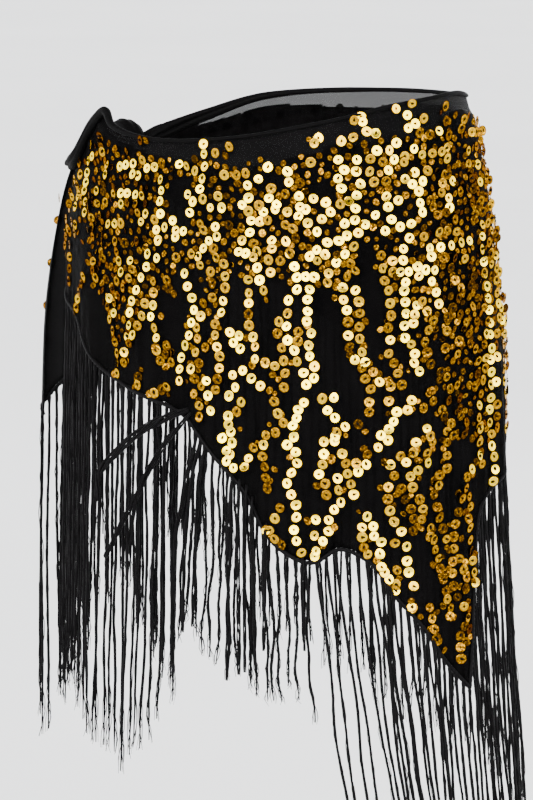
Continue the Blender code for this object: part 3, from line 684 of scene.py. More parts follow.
# ---- The hips and the cloth on them -----------------------------------------------------------
def hip_points(angle, height, out):
    """Points that stand out from the hips, each level with its own ring."""
    angle, height, out = np.broadcast_arrays(np.asarray(angle, float), height, out)
    turn = np.radians(angle)
    half_width = straight_column(HIP_RINGS, height, 1)
    depth = np.where(np.cos(turn) >= 0.0, straight_column(HIP_RINGS, height, 2),
                     straight_column(HIP_RINGS, height, 3))
    centre = straight_column(HIP_RINGS, height, 4)
    outward = unit(np.stack((np.sin(turn) / half_width, -np.cos(turn) / depth,
                             np.zeros_like(turn)), axis=-1))
    ring = np.stack((centre + half_width * np.sin(turn), -depth * np.cos(turn), height), axis=-1)
    return ring + outward * out[..., None]


def outward_at(angle, height, out):
    """The direction straight out from the hips at each of these points."""
    return unit(hip_points(angle, height, out + 0.01) - hip_points(angle, height, out))


def ridges(table, angle, height):
    """How far a table of folds lifts the cloth at each place."""
    rise = np.zeros(np.broadcast(angle, height).shape)
    for start_angle, start_height, end_angle, end_height, half_width, lift in table:
        start = np.array((start_angle * HIP_ARC, start_height))
        run = np.array((end_angle * HIP_ARC, end_height)) - start
        across, down = angle * HIP_ARC - start[0], height - start[1]
        share = np.clip((across * run[0] + down * run[1]) / run.dot(run), 0.0, 1.0)
        away = np.hypot(across - run[0] * share, down - run[1] * share) / half_width
        rise = rise + lift * np.exp(-away * away)
    return rise


def wrap_top(angle):
    """Upper edge of the cloth, SEAM_GAP clear of the roll, also where the roll runs steeply."""
    angle = np.asarray(angle, float)
    radius = smooth_column(WAIST_EDGE, angle, 2)
    rise = smooth_column(WAIST_EDGE, angle + 1.0, 1) - smooth_column(WAIST_EDGE, angle - 1.0, 1)
    steepness = np.hypot(1.0, rise / (2.0 * HIP_ARC))
    return smooth_column(WAIST_EDGE, angle, 1) - radius - (radius + SEAM_GAP) * steepness


def hem_height(angle):
    """Lower edge of the cloth."""
    return np.where(np.asarray(angle) <= POINT_ANGLE, smooth_column(HEM_TO_POINT, angle, 1),
                    smooth_column(HEM_FROM_POINT, angle, 1))


def cloth_height(angle, share):
    """Height of the cloth, from its waist edge (0) to its hem (1)."""
    top, hem = wrap_top(angle), hem_height(angle)
    return top + (hem - top) * share


def gather_at(angle):
    """How strongly the cloth is gathered towards the knot at each angle, from 0 to 1."""
    from_end = np.minimum(angle - FIRST_ANGLE, LAST_ANGLE - angle)
    return np.exp(-(from_end / GATHER_REACH) ** 2)


def wrap_out(angle, share):
    """How far the cloth stands off the hips, from the waist (0) to the hem (1)."""
    pleat = 0.5 - 0.5 * np.cos(2.0 * math.pi * GATHER_WAVES * share)
    return (CLOTH + ridges(FOLDS, angle, cloth_height(angle, share))
            + GATHER_DEPTH * gather_at(angle) * pleat)


def wrap_points(angle, share):
    """Points on the dressed cloth, with its fine creases and its rippled hem."""
    angle, share = np.broadcast_arrays(np.asarray(angle, float), share)
    height = cloth_height(angle, share)
    across = angle * HIP_ARC
    crinkle = (np.sin(across * 410.0 + height * 170.0) * np.sin(height * 330.0 - across * 120.0)
               + 0.6 * np.sin(across * 820.0 - height * 610.0))
    gather = gather_at(angle) * np.sin(math.pi * share)
    ripple = np.sin(across * 390.0 + 1.4 * np.sin(across * 47.0)) * share ** 4
    fine = (ridges(WAIST_CREASES, angle, height) + CRINKLE * crinkle * np.minimum(share * 12.0, 1.0)
            + HEM_RIPPLE * ripple
            + FINE_PLEAT_DEPTH * gather * np.sin(2.0 * math.pi * FINE_PLEATS * share))
    return hip_points(angle, height, wrap_out(angle, share) + fine)


def wrap_frame(angle, share):
    """The directions out from the cloth and along it at each place."""
    along = unit(wrap_points(angle + 0.4, share) - wrap_points(angle - 0.4, share))
    down = unit(wrap_points(angle, share + 0.01) - wrap_points(angle, share - 0.01))
    return unit(np.cross(down, along)), along


def even_angles(first, last):
    """Strand roots even along the hem, or no closer than LEAST_STEP where the hem is steep."""
    angles = np.linspace(first, last, 401)
    edge = hip_points(angles, hem_height(angles), 0.0)
    steps = np.linalg.norm(np.diff(edge, axis=0), axis=1)
    steps = np.minimum(steps, np.diff(angles) / LEAST_STEP * STRAND_PITCH)
    measure = np.concatenate(((0.0,), np.cumsum(steps)))
    count = 2 * round(measure[-1] / STRAND_PITCH / 2.0)
    return np.interp(np.linspace(0.0, measure[-1], count + 1), measure, angles)


# ---- Reading the charts -----------------------------------------------------------------------
def view_back(azimuth=VIEW_AZIMUTH, rise=VIEW_RISE):
    """The direction from the scarf to a camera this far round and this high."""
    level = math.cos(rise)
    return np.array((math.sin(azimuth) * level, -math.cos(azimuth) * level, math.sin(rise)))


def frame_marks(points):
    """Where these points come in the studio camera's frame."""
    back = view_back()
    right = unit(np.cross(UP, back))
    rise = np.cross(back, right)
    away = VIEW_AIM + back * VIEW_DISTANCE - points
    scale = FRAME_HEIGHT * VIEW_LENS / VIEW_SENSOR / (away @ back)
    return np.stack((FRAME_WIDTH / 2 - scale * (away @ right),
                     FRAME_HEIGHT / 2 + scale * (away @ rise)), axis=-1)


def chart_reader(out):
    """A function from marks in the frame to angle and height, this far out from the cloth."""
    angles, heights = np.meshgrid(np.arange(*CHART_ANGLES), np.arange(*CHART_HEIGHTS))
    stand = CLOTH + ridges(FOLDS, angles, heights) + out
    marks = frame_marks(hip_points(angles, heights, stand)).reshape(-1, 2)

    def read(bends):
        nearest = [np.abs(marks - bend).sum(axis=1).argmin()
                   for bend in np.array(bends, float).reshape(-1, 2)]
        return angles.ravel()[nearest], heights.ravel()[nearest]

    return read


# ---- Making meshes ----------------------------------------------------------------------------
def add_object(name, data):
    """A new object in the scene."""
    thing = bpy.data.objects.new(name, data)
    bpy.context.scene.collection.objects.link(thing)
    return thing


def add_piece(name, points, faces, material, sharp=None):
    """A smooth mesh piece of the scarf, with its edges sharp from this angle on."""
    mesh = bpy.data.meshes.new(name)
    mesh.from_pydata(np.asarray(points).reshape(-1, 3).tolist(), [], faces)
    mesh.shade_smooth()
    if sharp is not None:
        mesh.set_sharp_from_angle(angle=math.radians(sharp))
    mesh.materials.append(material)
    piece = add_object(name, mesh)
    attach(piece, "root")
    return piece


def cloth_shell(outer, thickness):
    """A thin closed sheet under a grid of points, columns first, rows running down."""
    along = np.gradient(outer, axis=0)
    down = np.gradient(outer, axis=1)
    inner = outer - unit(np.cross(down, along)) * thickness
    columns, rows = outer.shape[:2]
    numbers = np.arange(2 * columns * rows).reshape(2, columns, rows)

    def strip(a, b, c, d):
        return np.stack((a, b, c, d), axis=-1).reshape(-1, 4)

    front, back = numbers
    faces = np.concatenate((
        strip(front[:-1, :-1], front[:-1, 1:], front[1:, 1:], front[1:, :-1]),
        strip(back[:-1, :-1], back[1:, :-1], back[1:, 1:], back[:-1, 1:]),
        strip(front[:-1, 0], front[1:, 0], back[1:, 0], back[:-1, 0]),
        strip(front[:-1, -1], back[:-1, -1], back[1:, -1], front[1:, -1]),
        strip(front[0, :-1], back[0, :-1], back[0, 1:], front[0, 1:]),
        strip(front[-1, :-1], front[-1, 1:], back[-1, 1:], back[-1, :-1]),
    ))
    return np.concatenate((outer.reshape(-1, 3), inner.reshape(-1, 3))), faces.tolist()


def tube_rings(centres, outward, radii, sides, lobes=0, depth=0.0, turns=0.0):
    """Rings of points round many lines at once, one line for each row of centres.

    Lobes are the plies of a twisted cord, with grooves depth deep and turns radians a metre.
    """
    along = unit(np.gradient(centres, axis=1))
    across = unit(np.cross(along, outward))
    lift = np.cross(across, along)
    around = even_turn(sides)
    radii = np.broadcast_to(np.asarray(radii, float), centres.shape[:2])[:, :, None]
    if lobes:
        twist = around + length_along(centres)[:, :, None] * turns
        radii = radii * (1.0 - depth + depth * np.abs(np.cos(0.5 * lobes * twist)))
    radii = np.broadcast_to(radii, (*centres.shape[:2], sides))
    return round_centre(centres[:, :, None], across[:, :, None], lift[:, :, None], radii, radii,
                        around)


def tube_faces(lines, stations, sides, start=0):
    """Faces of closed tubes whose rings come from tube_rings."""
    line, station, side = np.meshgrid(np.arange(lines), np.arange(stations - 1), np.arange(sides),
                                      indexing="ij")
    ring = start + (line * stations + station) * sides
    after = (side + 1) % sides
    walls = np.stack((ring + side, ring + sides + side, ring + sides + after, ring + after),
                     axis=-1).reshape(-1, 4).tolist()
    firsts = start + np.arange(lines) * stations * sides
    caps = (firsts[:, None] + np.arange(sides)).tolist()
    ends = (firsts[:, None] + stations * sides - 1 - np.arange(sides)).tolist()
    return walls + caps + ends


def closed_grid(rows, columns):
    """Faces of a grid of points whose rows and columns both close on themselves."""
    numbers = np.arange(rows * columns).reshape(rows, columns)
    after = np.roll(numbers, -1, axis=0)
    faces = np.stack((numbers, after, np.roll(after, -1, axis=1), np.roll(numbers, -1, axis=1)),
                     axis=-1)
    return faces.reshape(-1, 4)


# ---- Materials ----------------------------------------------------------------------------------
def set_inputs(node, **values):
    """Set a node's inputs by name, with _ for each space in the name."""
    for name, value in values.items():
        node.inputs[name.replace("_", " ")].default_value = value


def new_finish(name, roughness, metallic=0.0):
    """A new material with its nodes, links and shader."""
    material = bpy.data.materials.new(name)
    material.use_nodes = True
    nodes = material.node_tree.nodes
    shader = nodes["Principled BSDF"]
    set_inputs(shader, Roughness=roughness, Metallic=metallic)
    return material, nodes, material.node_tree.links, shader


def noise_from(nodes, links, scale, detail, stretch=None):
    """A noise in the object's own space, in cells per metre, stretched along its axes."""
    place = nodes.new("ShaderNodeTexCoord")
    noise = nodes.new("ShaderNodeTexNoise")
    set_inputs(noise, Scale=scale, Detail=detail)
    if stretch is None:
        links.new(place.outputs["Object"], noise.inputs["Vector"])
    else:
        mapping = nodes.new("ShaderNodeMapping")
        set_inputs(mapping, Scale=stretch)
        links.new(place.outputs["Object"], mapping.inputs["Vector"])
        links.new(mapping.outputs["Vector"], noise.inputs["Vector"])
    return noise


def colour_through(nodes, links, factor, *stops):
    """A colour that runs through these stops, each a place from 0 to 1 and a colour."""
    ramp = nodes.new("ShaderNodeValToRGB")
    elements = ramp.color_ramp.elements
    for number, (place, colour) in enumerate((stops[0], stops[-1])):
        elements[number].position = place
        elements[number].color = (*colour, 1.0)
    for place, colour in stops[1:-1]:
        elements.new(place).color = (*colour, 1.0)
    links.new(factor, ramp.inputs["Fac"])
    return ramp.outputs["Color"]


def value_between(nodes, links, factor, low, high, start=0.0, end=1.0):
    """A value from low to high while the factor runs from start to end."""
    spread = nodes.new("ShaderNodeMapRange")
    set_inputs(spread, From_Min=start, From_Max=end, To_Min=low, To_Max=high)
    links.new(factor, spread.inputs["Value"])
    return spread.outputs["Result"]


def add_bump(nodes, links, shader, height, strength, distance):
    """Relief on a surface, up to this distance deep."""
    bump = nodes.new("ShaderNodeBump")
    set_inputs(bump, Strength=strength, Distance=distance)
    links.new(height, bump.inputs["Height"])
    links.new(bump.outputs["Normal"], shader.inputs["Normal"])
    return bump


def dyed_black(nodes, links, shader, grain, colour, sheen, gloss):
    """Black dye that takes unevenly, with a faint sheen and little gloss."""
    dark = tuple(0.55 * channel for channel in colour)
    light = tuple(1.7 * channel for channel in colour)
    links.new(colour_through(nodes, links, grain.outputs["Fac"], (0.3, dark), (0.7, light)),
              shader.inputs["Base Color"])
    set_inputs(shader, Sheen_Weight=sheen, Sheen_Roughness=0.35,
               Sheen_Tint=(0.62, 0.58, 0.56, 1.0), Specular_IOR_Level=gloss)


def mesh_cloth_finish(name, colour, alpha, weave, creases=None):
    """Sheer stretch mesh: fine holes, uneven dye and, where it hangs in one layer, creases."""
    material, nodes, links, shader = new_finish(name, 0.72)
    set_inputs(shader, Alpha=alpha)
    dye = noise_from(nodes, links, scale=60.0, detail=4.0, stretch=(1.0, 1.0, 0.35))
    sheen, gloss = (0.016, 0.05) if creases else (0.003, 0.009)
    dyed_black(nodes, links, shader, dye, colour, sheen, gloss)
    place = nodes.new("ShaderNodeTexCoord")
    holes = nodes.new("ShaderNodeTexVoronoi")
    holes.feature = "DISTANCE_TO_EDGE"
    set_inputs(holes, Scale=1.0 / weave, Randomness=0.25)
    links.new(place.outputs["Object"], holes.inputs["Vector"])
    links.new(value_between(nodes, links, dye.outputs["Fac"], 0.62, 0.82),
              shader.inputs["Roughness"])
    weave_bump = add_bump(nodes, links, shader, holes.outputs["Distance"], strength=0.6,
                          distance=0.0004)
    if creases:
        wrinkles = noise_from(nodes, links, scale=26.0, detail=3.0, stretch=creases)
        crease_bump = add_bump(nodes, links, shader, wrinkles.outputs["Fac"], strength=1.0,
                               distance=0.004)
        links.new(weave_bump.outputs["Normal"], crease_bump.inputs["Normal"])
    return material


def rolled_cloth_finish(colour):
    """The same mesh in many layers, which let no light through, with fine ridges."""
    material, nodes, links, shader = new_finish("rolled_cloth_finish", 0.66)
    grain = noise_from(nodes, links, scale=420.0, detail=5.0, stretch=(1.0, 1.0, 2.6))
    dyed_black(nodes, links, shader, grain, colour, sheen=0.008, gloss=0.030)
    add_bump(nodes, links, shader, grain.outputs["Fac"], strength=0.7, distance=0.0008)
    return material


def thread_finish(colour):
    """Soft twisted rayon thread with a low, silky shine."""
    material, nodes, links, shader = new_finish("fringe_thread_finish", 0.46)
    twist = noise_from(nodes, links, scale=900.0, detail=2.0, stretch=(1.0, 1.0, 0.6))
    dyed_black(nodes, links, shader, twist, colour, sheen=0.0035, gloss=0.028)
    links.new(value_between(nodes, links, twist.outputs["Fac"], 0.36, 0.60),
              shader.inputs["Roughness"])
    add_bump(nodes, links, shader, twist.outputs["Fac"], strength=0.6, distance=0.0004)
    return material


def sequin_finish(deep, middle, pale):
    """Metallised gold sequins coloured by their tone: painted shade in amber at low tones, a painted
    highlight in pale gold at high tones, and blotched.
    """
    material, nodes, links, shader = new_finish("sequin_gold_finish", 0.26, 1.0)
    tone = nodes.new("ShaderNodeAttribute")
    tone.attribute_name = "tone"
    blotch = noise_from(nodes, links, scale=620.0, detail=3.0)
    mixed = nodes.new("ShaderNodeMath")
    mixed.operation = "MULTIPLY_ADD"
    links.new(value_between(nodes, links, blotch.outputs["Fac"], -1.3, 1.3), mixed.inputs[0])
    links.new(value_between(nodes, links, tone.outputs["Fac"], 0.75, 0.0), mixed.inputs[1])
    links.new(tone.outputs["Fac"], mixed.inputs[2])
    # The darkest colour is painted shade, on the sequins' backs and on the small ones under the others.
    darkest = tuple(0.2 * channel for channel in deep)
    links.new(colour_through(nodes, links, mixed.outputs["Value"], (0.0, darkest), (0.28, deep),
                             (0.56, middle), (1.0, pale)), shader.inputs["Base Color"])
    set_inputs(shader, Specular_Tint=(0.75, 0.5, 0.2, 1.0))
    dents = noise_from(nodes, links, scale=430.0, detail=2.0)
    links.new(value_between(nodes, links, dents.outputs["Fac"], 0.08, 0.24),
              shader.inputs["Roughness"])
    bump = add_bump(nodes, links, shader, dents.outputs["Fac"], strength=0.3, distance=0.0007)
    links.new(value_between(nodes, links, tone.outputs["Fac"], 0.55, 0.03),
              bump.inputs["Strength"])
    return material


# ---- Settings -------------------------------------------------------------------------------------
class ScarfCloth(bpy.types.PropertyGroup):
    """The mesh cloth and its rolled hem."""
    thickness: bpy.props.FloatProperty(
        name="Thickness", description="Thickness of one layer of the mesh cloth",
        default=0.0006, min=0.0002, max=CLOTH, precision=4, unit="LENGTH", subtype="DISTANCE")
    weave: bpy.props.FloatProperty(
        name="Weave", description="Width of one hole of the mesh",
        default=0.0011, min=0.0004, max=0.004, precision=4, unit="LENGTH", subtype="DISTANCE")
    colour: bpy.props.FloatVectorProperty(
        name="Cloth colour", description="Dye of the mesh cloth",
        default=(0.0008, 0.0007, 0.0007), size=3, min=0.0, max=1.0, subtype="COLOR")
    cover: bpy.props.FloatProperty(
        name="Cover", description="How much one face of the mesh hides what is behind it",
        default=0.97, min=0.3, max=1.0, subtype="FACTOR")
    band_cover: bpy.props.FloatProperty(
        name="Band cover", description="The same, in the thin band under the waist edge",
        default=0.72, min=0.3, max=1.0, subtype="FACTOR")
    columns: bpy.props.IntProperty(
        name="Columns", description="Columns of faces round the wrap", default=340, min=60, max=800)
    rows: bpy.props.IntProperty(
        name="Rows", description="Rows of faces from the waist to the hem",
        default=64, min=16, max=160)


class ScarfSequins(bpy.types.PropertyGroup):
    """The sewn sequins."""
    size: bpy.props.FloatProperty(
        name="Size", description="Width of one sequin", default=0.0075, min=0.003, max=0.02,
        precision=4, unit="LENGTH", subtype="DISTANCE")
    hole: bpy.props.FloatProperty(
        name="Hole", description="Width of the hole in its middle", default=0.0016, min=0.0004,
        max=0.004, precision=4, unit="LENGTH", subtype="DISTANCE")
    cup: bpy.props.FloatProperty(
        name="Cup", description="How deep the sequin is dished", default=0.00012, min=0.0, max=0.002,
        precision=4, unit="LENGTH", subtype="DISTANCE")
    # The deep tone is painted shade on the sequins.
    deep: bpy.props.FloatVectorProperty(
        name="Deep tone", description="Colour of the darkest sequins",
        default=(0.12, 0.050, 0.0015), size=3, min=0.0, max=1.0, subtype="COLOR")
    middle: bpy.props.FloatVectorProperty(
        name="Middle tone", description="Colour of most sequins",
        default=(0.40, 0.197, 0.0008), size=3, min=0.0, max=1.0, subtype="COLOR")
    # The pale tone is a painted highlight on the sequins.
    pale: bpy.props.FloatVectorProperty(
        name="Pale tone", description="Colour of the brightest sequins",
        default=(1.0, 0.73, 0.004), size=3, min=0.0, max=1.0, subtype="COLOR")
    seed: bpy.props.IntProperty(
        name="Seed", description="Picks the unevenness of the sewing", default=11, min=0)


class ScarfFringe(bpy.types.PropertyGroup):
    """The hanging fringe and the braid it is knotted into."""
    cord: bpy.props.FloatProperty(
        name="Cord", description="Thickness of one twisted strand", default=0.0022, min=0.001,
        max=0.006, precision=4, unit="LENGTH", subtype="DISTANCE")
    thread: bpy.props.FloatProperty(
        name="Thread", description="Thickness of one loose thread", default=0.0006, min=0.0003,
        max=0.003, precision=4, unit="LENGTH", subtype="DISTANCE")
    threads: bpy.props.IntProperty(
        name="Loose threads", description="Loose threads round each strand", default=3, min=0,
        max=8)
    braid: bpy.props.FloatProperty(
        name="Braid", description="Thickness of the braid along the hem", default=0.0034, min=0.001,
        max=0.008, precision=4, unit="LENGTH", subtype="DISTANCE")
    colour: bpy.props.FloatVectorProperty(
        name="Thread colour", description="Dye of the fringe", default=(0.0020, 0.0018, 0.0019),
        size=3, min=0.0, max=1.0, subtype="COLOR")
    seed: bpy.props.IntProperty(
        name="Seed", description="Picks the unevenness of the strands", default=5, min=0)


class ScarfStudio(bpy.types.PropertyGroup):
    """The plain studio round the scarf."""
    floor_height: bpy.props.FloatProperty(
        name="Floor height", description="Height of the floor below the waist", default=-0.95,
        max=-0.70, unit="LENGTH", subtype="DISTANCE")
    camera_azimuth: bpy.props.FloatProperty(
        name="Camera azimuth", description="How far round from the front the camera stands",
        default=VIEW_AZIMUTH, unit="ROTATION", subtype="ANGLE")
    camera_rise: bpy.props.FloatProperty(
        name="Camera rise", description="How far the camera looks down",
        default=VIEW_RISE, unit="ROTATION", subtype="ANGLE")
    camera_distance: bpy.props.FloatProperty(
        name="Camera distance", description="Distance from the camera to the scarf",
        default=VIEW_DISTANCE, min=0.5, unit="LENGTH", subtype="DISTANCE")
    lens: bpy.props.FloatProperty(
        name="Lens", description="Focal length of the camera", default=VIEW_LENS, min=20.0,
        unit="CAMERA")


# ---- Cloth pieces ---------------------------------------------------------------------------------
ROLL_STATIONS, ROLL_SIDES = 640, 36
ROLL_FOLDS = 7
# How the roll's two ends run down into the knot: share of its radius, then inward and down.
ROLL_TAPER, ROLL_INWARD, ROLL_DOWN = 0.62, 0.0035, 0.0050


def roll_folds(run, thick):
    """Size of the waist roll round each ring, pinched along folds that wander and fade."""
    around = even_turn(ROLL_SIDES)
    depth = 0.10 + 0.16 * np.clip(thick, 0.0, 1.0)
    swell = 1.0 + 0.03 * np.sin(2.0 * around + run * 90.0)
    for fold in range(ROLL_FOLDS):
        place = (2.0 * math.pi * fold / ROLL_FOLDS + 0.5 * np.sin(run * (9.0 + 3.0 * fold) + fold)
                 + run * 5.0)
        away = np.abs(np.mod(around - place + math.pi, 2.0 * math.pi) - math.pi)
        fade = 0.55 + 0.45 * np.sin(run * (17.0 + 5.0 * fold) + 2.0 * fold)
        swell = swell - depth * fade * np.exp(-(away / 0.24) ** 2)
    return swell


class SCARF_OT_wrap(bpy.types.Operator):
    """Lay the mesh cloth round the hips and roll its waist edge"""
    bl_idname = "scarf.wrap"
    bl_label = "Wrap and waist roll"

    def execute(self, context):
        settings = context.scene.scarf_cloth
        rows, columns = settings.rows, settings.columns
        angles = np.linspace(FIRST_ANGLE, LAST_ANGLE, columns + 1)
        shares = (np.arange(rows + 1) / rows) ** 1.2
        shares_down = np.repeat(shares[None, :], len(angles), axis=0)
        tuck = smooth_column(WAIST_EDGE, angles, 2) / (hem_height(angles) - wrap_top(angles))
        shares_down[:, 0] = tuck   # the cloth runs up into the roll
        outer = wrap_points(angles[:, None], shares_down)
        points, faces = cloth_shell(outer, settings.thickness)
        finish = mesh_cloth_finish("mesh_cloth_finish", settings.colour, settings.cover,
                                   settings.weave)
        band = mesh_cloth_finish("waist_band_finish", settings.colour, settings.band_cover,
                                 settings.weave, creases=(1.0, 1.0, 11.0))
        wrap = add_piece("wrap_cloth", points, faces, finish)
        wrap.data.materials.append(band)
        low = band_share(angles)
        middle = 0.5 * (low[:-1] + low[1:])
        in_band = (shares[:-1][None, :] < middle[:, None]).reshape(-1)
        slots = np.zeros(len(faces), int)
        slots[:2 * rows * columns] = np.tile(in_band, 2)
        wrap.data.polygons.foreach_set("material_index", slots)
        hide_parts("wrap")

        angles = np.linspace(FIRST_ANGLE - ROLL_REACH, LAST_ANGLE + ROLL_REACH, ROLL_STATIONS)
        beyond = np.maximum(FIRST_ANGLE + 1.0 - angles, angles - LAST_ANGLE + 1.0) / ROLL_REACH
        beyond = np.clip(beyond, 0.0, 1.0)
        radius = smooth_column(WAIST_EDGE, angles, 2)
        height = smooth_column(WAIST_EDGE, angles, 1) - radius - ROLL_DOWN * beyond ** 1.5
        out = wrap_out(angles, 0.0) + radius - CLOTH - ROLL_INWARD * beyond
        radius = radius * (1.0 - ROLL_TAPER * beyond ** 1.5)
        centres = hip_points(angles, height, out)[None]
        rings = tube_rings(centres, outward_at(angles, height, out)[None], radius[None], ROLL_SIDES)
        swell = roll_folds(length_along(centres[0])[:, None], (radius[:, None] - 0.0016) / 0.004)
        rings = centres[:, :, None] + (rings - centres[:, :, None]) * swell[None, :, :, None]
        roll = add_piece("waist_hem", rings, tube_faces(1, ROLL_STATIONS, ROLL_SIDES),
                         rolled_cloth_finish(settings.colour))
        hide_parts("waist_roll")
        return {"FINISHED"}


def band_share(angle):
    """How far down the cloth is one thin layer, as a share of the way to the hem."""
    spread = 0.045 + 0.012 * np.sin(angle * 0.11) + 0.02 * np.exp(-((angle - 28.0) / 26.0) ** 2)
    return spread * np.interp(angle, (-32.0, -8.0, 222.0, 236.0), (0.0, 1.0, 1.0, 0.0))


class SCARF_OT_knot(bpy.types.Operator):
    """Fold the gathered ends through the knot and turn the loop round them"""
    bl_idname = "scarf.knot"
    bl_label = "Knot"

    def execute(self, context):
        finish = rolled_cloth_finish(context.scene.scarf_cloth.colour)
        share = np.linspace(0.0, 1.0, BUNDLE_STATIONS)[:, None]
        around = even_turn(BUNDLE_SIDES)[None, :]
        start, end = LAST_ANGLE + KNOT_INSET, FIRST_ANGLE + 360.0 - KNOT_INSET
        half_height = smooth_column(BUNDLE_SECTIONS, share, 1)
        half_thickness = smooth_column(BUNDLE_SECTIONS, share, 2)
        pleats = (1.0 + 0.075 * np.cos(11.0 * around + 0.8 * np.sin(9.0 * share))
                  + 0.04 * np.cos(6.0 * around - 2.0 * share))
        rings = hip_points(start + (end - start) * share,
                           KNOT_HEIGHT + half_height * pleats * np.sin(around),
                           half_thickness + KNOT_LIFT * np.sin(math.pi * share)
                           + half_thickness * pleats * np.cos(around))
        bundle = add_piece("knot_folds", rings[:, ::-1],
                           tube_faces(1, BUNDLE_STATIONS, BUNDLE_SIDES), finish)
        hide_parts("knot_bundle")

        outward = unit(hip_points(KNOT_ANGLE, KNOT_HEIGHT, 1.0)
                       - hip_points(KNOT_ANGLE, KNOT_HEIGHT, 0.0))
        forward = unit(np.cross(UP, outward))
        middle = BUNDLE_SECTIONS[len(BUNDLE_SECTIONS) // 2]
        centre = hip_points(KNOT_ANGLE, KNOT_HEIGHT, middle[2] + KNOT_LIFT)
        turn = even_turn(LOOP_STATIONS)[:, None]
        around = even_turn(LOOP_SIDES)[None, :]
        radius = (LOOP_INNER_RADIUS + (LOOP_OUTER_RADIUS - LOOP_INNER_RADIUS)
                  * (0.5 + 0.5 * np.cos(turn)) ** 0.6)
        side = outward * np.cos(turn)[..., None] + UP * np.sin(turn)[..., None]
        path = (round_centre(centre, outward, UP, middle[2] * BUNDLE_REACH,
                             middle[1] * BUNDLE_REACH, turn)
                + side * (radius + LOOP_CLEARANCE)[..., None])
        pleats = (1.0 + 0.07 * np.cos(9.0 * around + 1.2 * np.sin(turn))
                  + 0.03 * np.cos(4.0 * around + turn))
        rings = round_centre(path, side, -forward, radius * pleats, LOOP_HALF_WIDTH * pleats,
                             around)
        faces = closed_grid(LOOP_STATIONS, LOOP_SIDES).tolist()
        loop = add_piece("knot_turn", rings, faces, finish)
        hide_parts("knot_loop")
        return {"FINISHED"}


def tail_points(table, across, down):
    """Points of a tail, across from its plain edge and down to its hem, in soft pleats."""
    across, down = np.broadcast_arrays(np.asarray(across, float), down)
    keyed = [(number, *row) for number, row in enumerate(table)]
    key = down * (len(table) - 1)
    plain = np.stack([smooth_column(keyed, key, column) for column in (1, 2, 3)], axis=-1)
    fringed = np.stack([smooth_column(keyed, key, column) for column in (4, 5, 6)], axis=-1)
    depth = smooth_column(keyed, key, 7)
    pleat = depth * np.sin(2.0 * math.pi * TAIL_PLEATS * across)
    fine = 0.0007 * np.sin(2.0 * math.pi * 9.0 * across + 5.0 * down) * down
    points = plain + (fringed - plain) * across[..., None]
    points[..., 0] -= pleat + fine
    return points


class SCARF_OT_tails(bpy.types.Operator):
    """Hang the two loose corners from the knot"""
    bl_idname = "scarf.tails"
    bl_label = "Tails"

    def execute(self, context):
        settings = context.scene.scarf_cloth
        finish = mesh_cloth_finish("tail_cloth_finish", settings.colour, settings.cover,
                                   settings.weave, creases=(3.0, 3.0, 0.3))
        across = np.linspace(0.0, 1.0, TAIL_COLUMNS + 1)[:, None]
        down = np.linspace(0.0, 1.0, TAIL_ROWS + 1)[None, :]
        for side, table, _, _, _ in TAILS:
            outer = tail_points(table, across, down)
            if side == "front":
                outer = outer[::-1]   # both tails keep their outer face to the same side
            points, faces = cloth_shell(outer, settings.thickness)
            tail = add_piece("tail_" + side + "_cloth", points, faces, finish)
            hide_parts("tail_" + side)
        return {"FINISHED"}


# ---- Threads of the fringe ------------------------------------------------------------------------
def lean_together(places, random, size):
    """The middle of the clump that each strand leans to, and how strongly it does."""
    clump = np.searchsorted(np.cumsum(random.uniform(0.4, 1.7, len(places)) * size) + places[0],
                            places)
    middles = np.array([places[clump == c].mean() if (clump == c).any() else 0.0
                        for c in range(clump.max() + 1)])
    pull = random.uniform(0.0, 0.75, len(middles))
    return middles[clump], pull[clump]


def hanging_lines(angles, random):
    """Lines of the strands that hang from the hem at these angles."""
    drop = STATIONS[None, :]
    middles, pull = lean_together(angles, random, CLUMP_ANGLE)
    own = random.uniform(-1.0, 1.0, (6, len(angles), 1))
    swing = np.interp(drop, FALL_DROPS, FALL_SWINGS)
    length = smooth_column(FRINGE_FALL, angles, 1)[:, None] * (1.0 + LENGTH_SPREAD * own[0])
    lean = (straight_column(FRINGE_FALL, angles, 2)[:, None] + STRAND_STRAY * own[1]) * swing
    flare = straight_column(FRINGE_FALL, angles, 3)[:, None] * THREAD_FLARE
    flare = (flare + STRAND_STRAY * (0.5 + own[2])) * swing
    gathered = (middles - angles)[:, None] * pull[:, None] * np.sin(0.5 * math.pi * drop)
    wave = (LONG_WAVE * np.sin(drop * (7.0 + 3.0 * own[3]) + 6.0 * own[4])
            + SHORT_WAVE * np.sin(drop * (17.0 + 6.0 * own[5]) + 6.0 * own[3]))
    wave = wave * np.minimum(drop * 5.0, 1.0)
    height = hem_height(angles)[:, None] - ROOT_DROP - length * drop
    out = wrap_out(angles, 1.0)[:, None] - 0.0005 + flare + 0.5 * np.abs(wave)
    place = angles[:, None] + gathered + (lean + wave) / HIP_ARC
    return hip_points(place, height, out), outward_at(place, height, out)


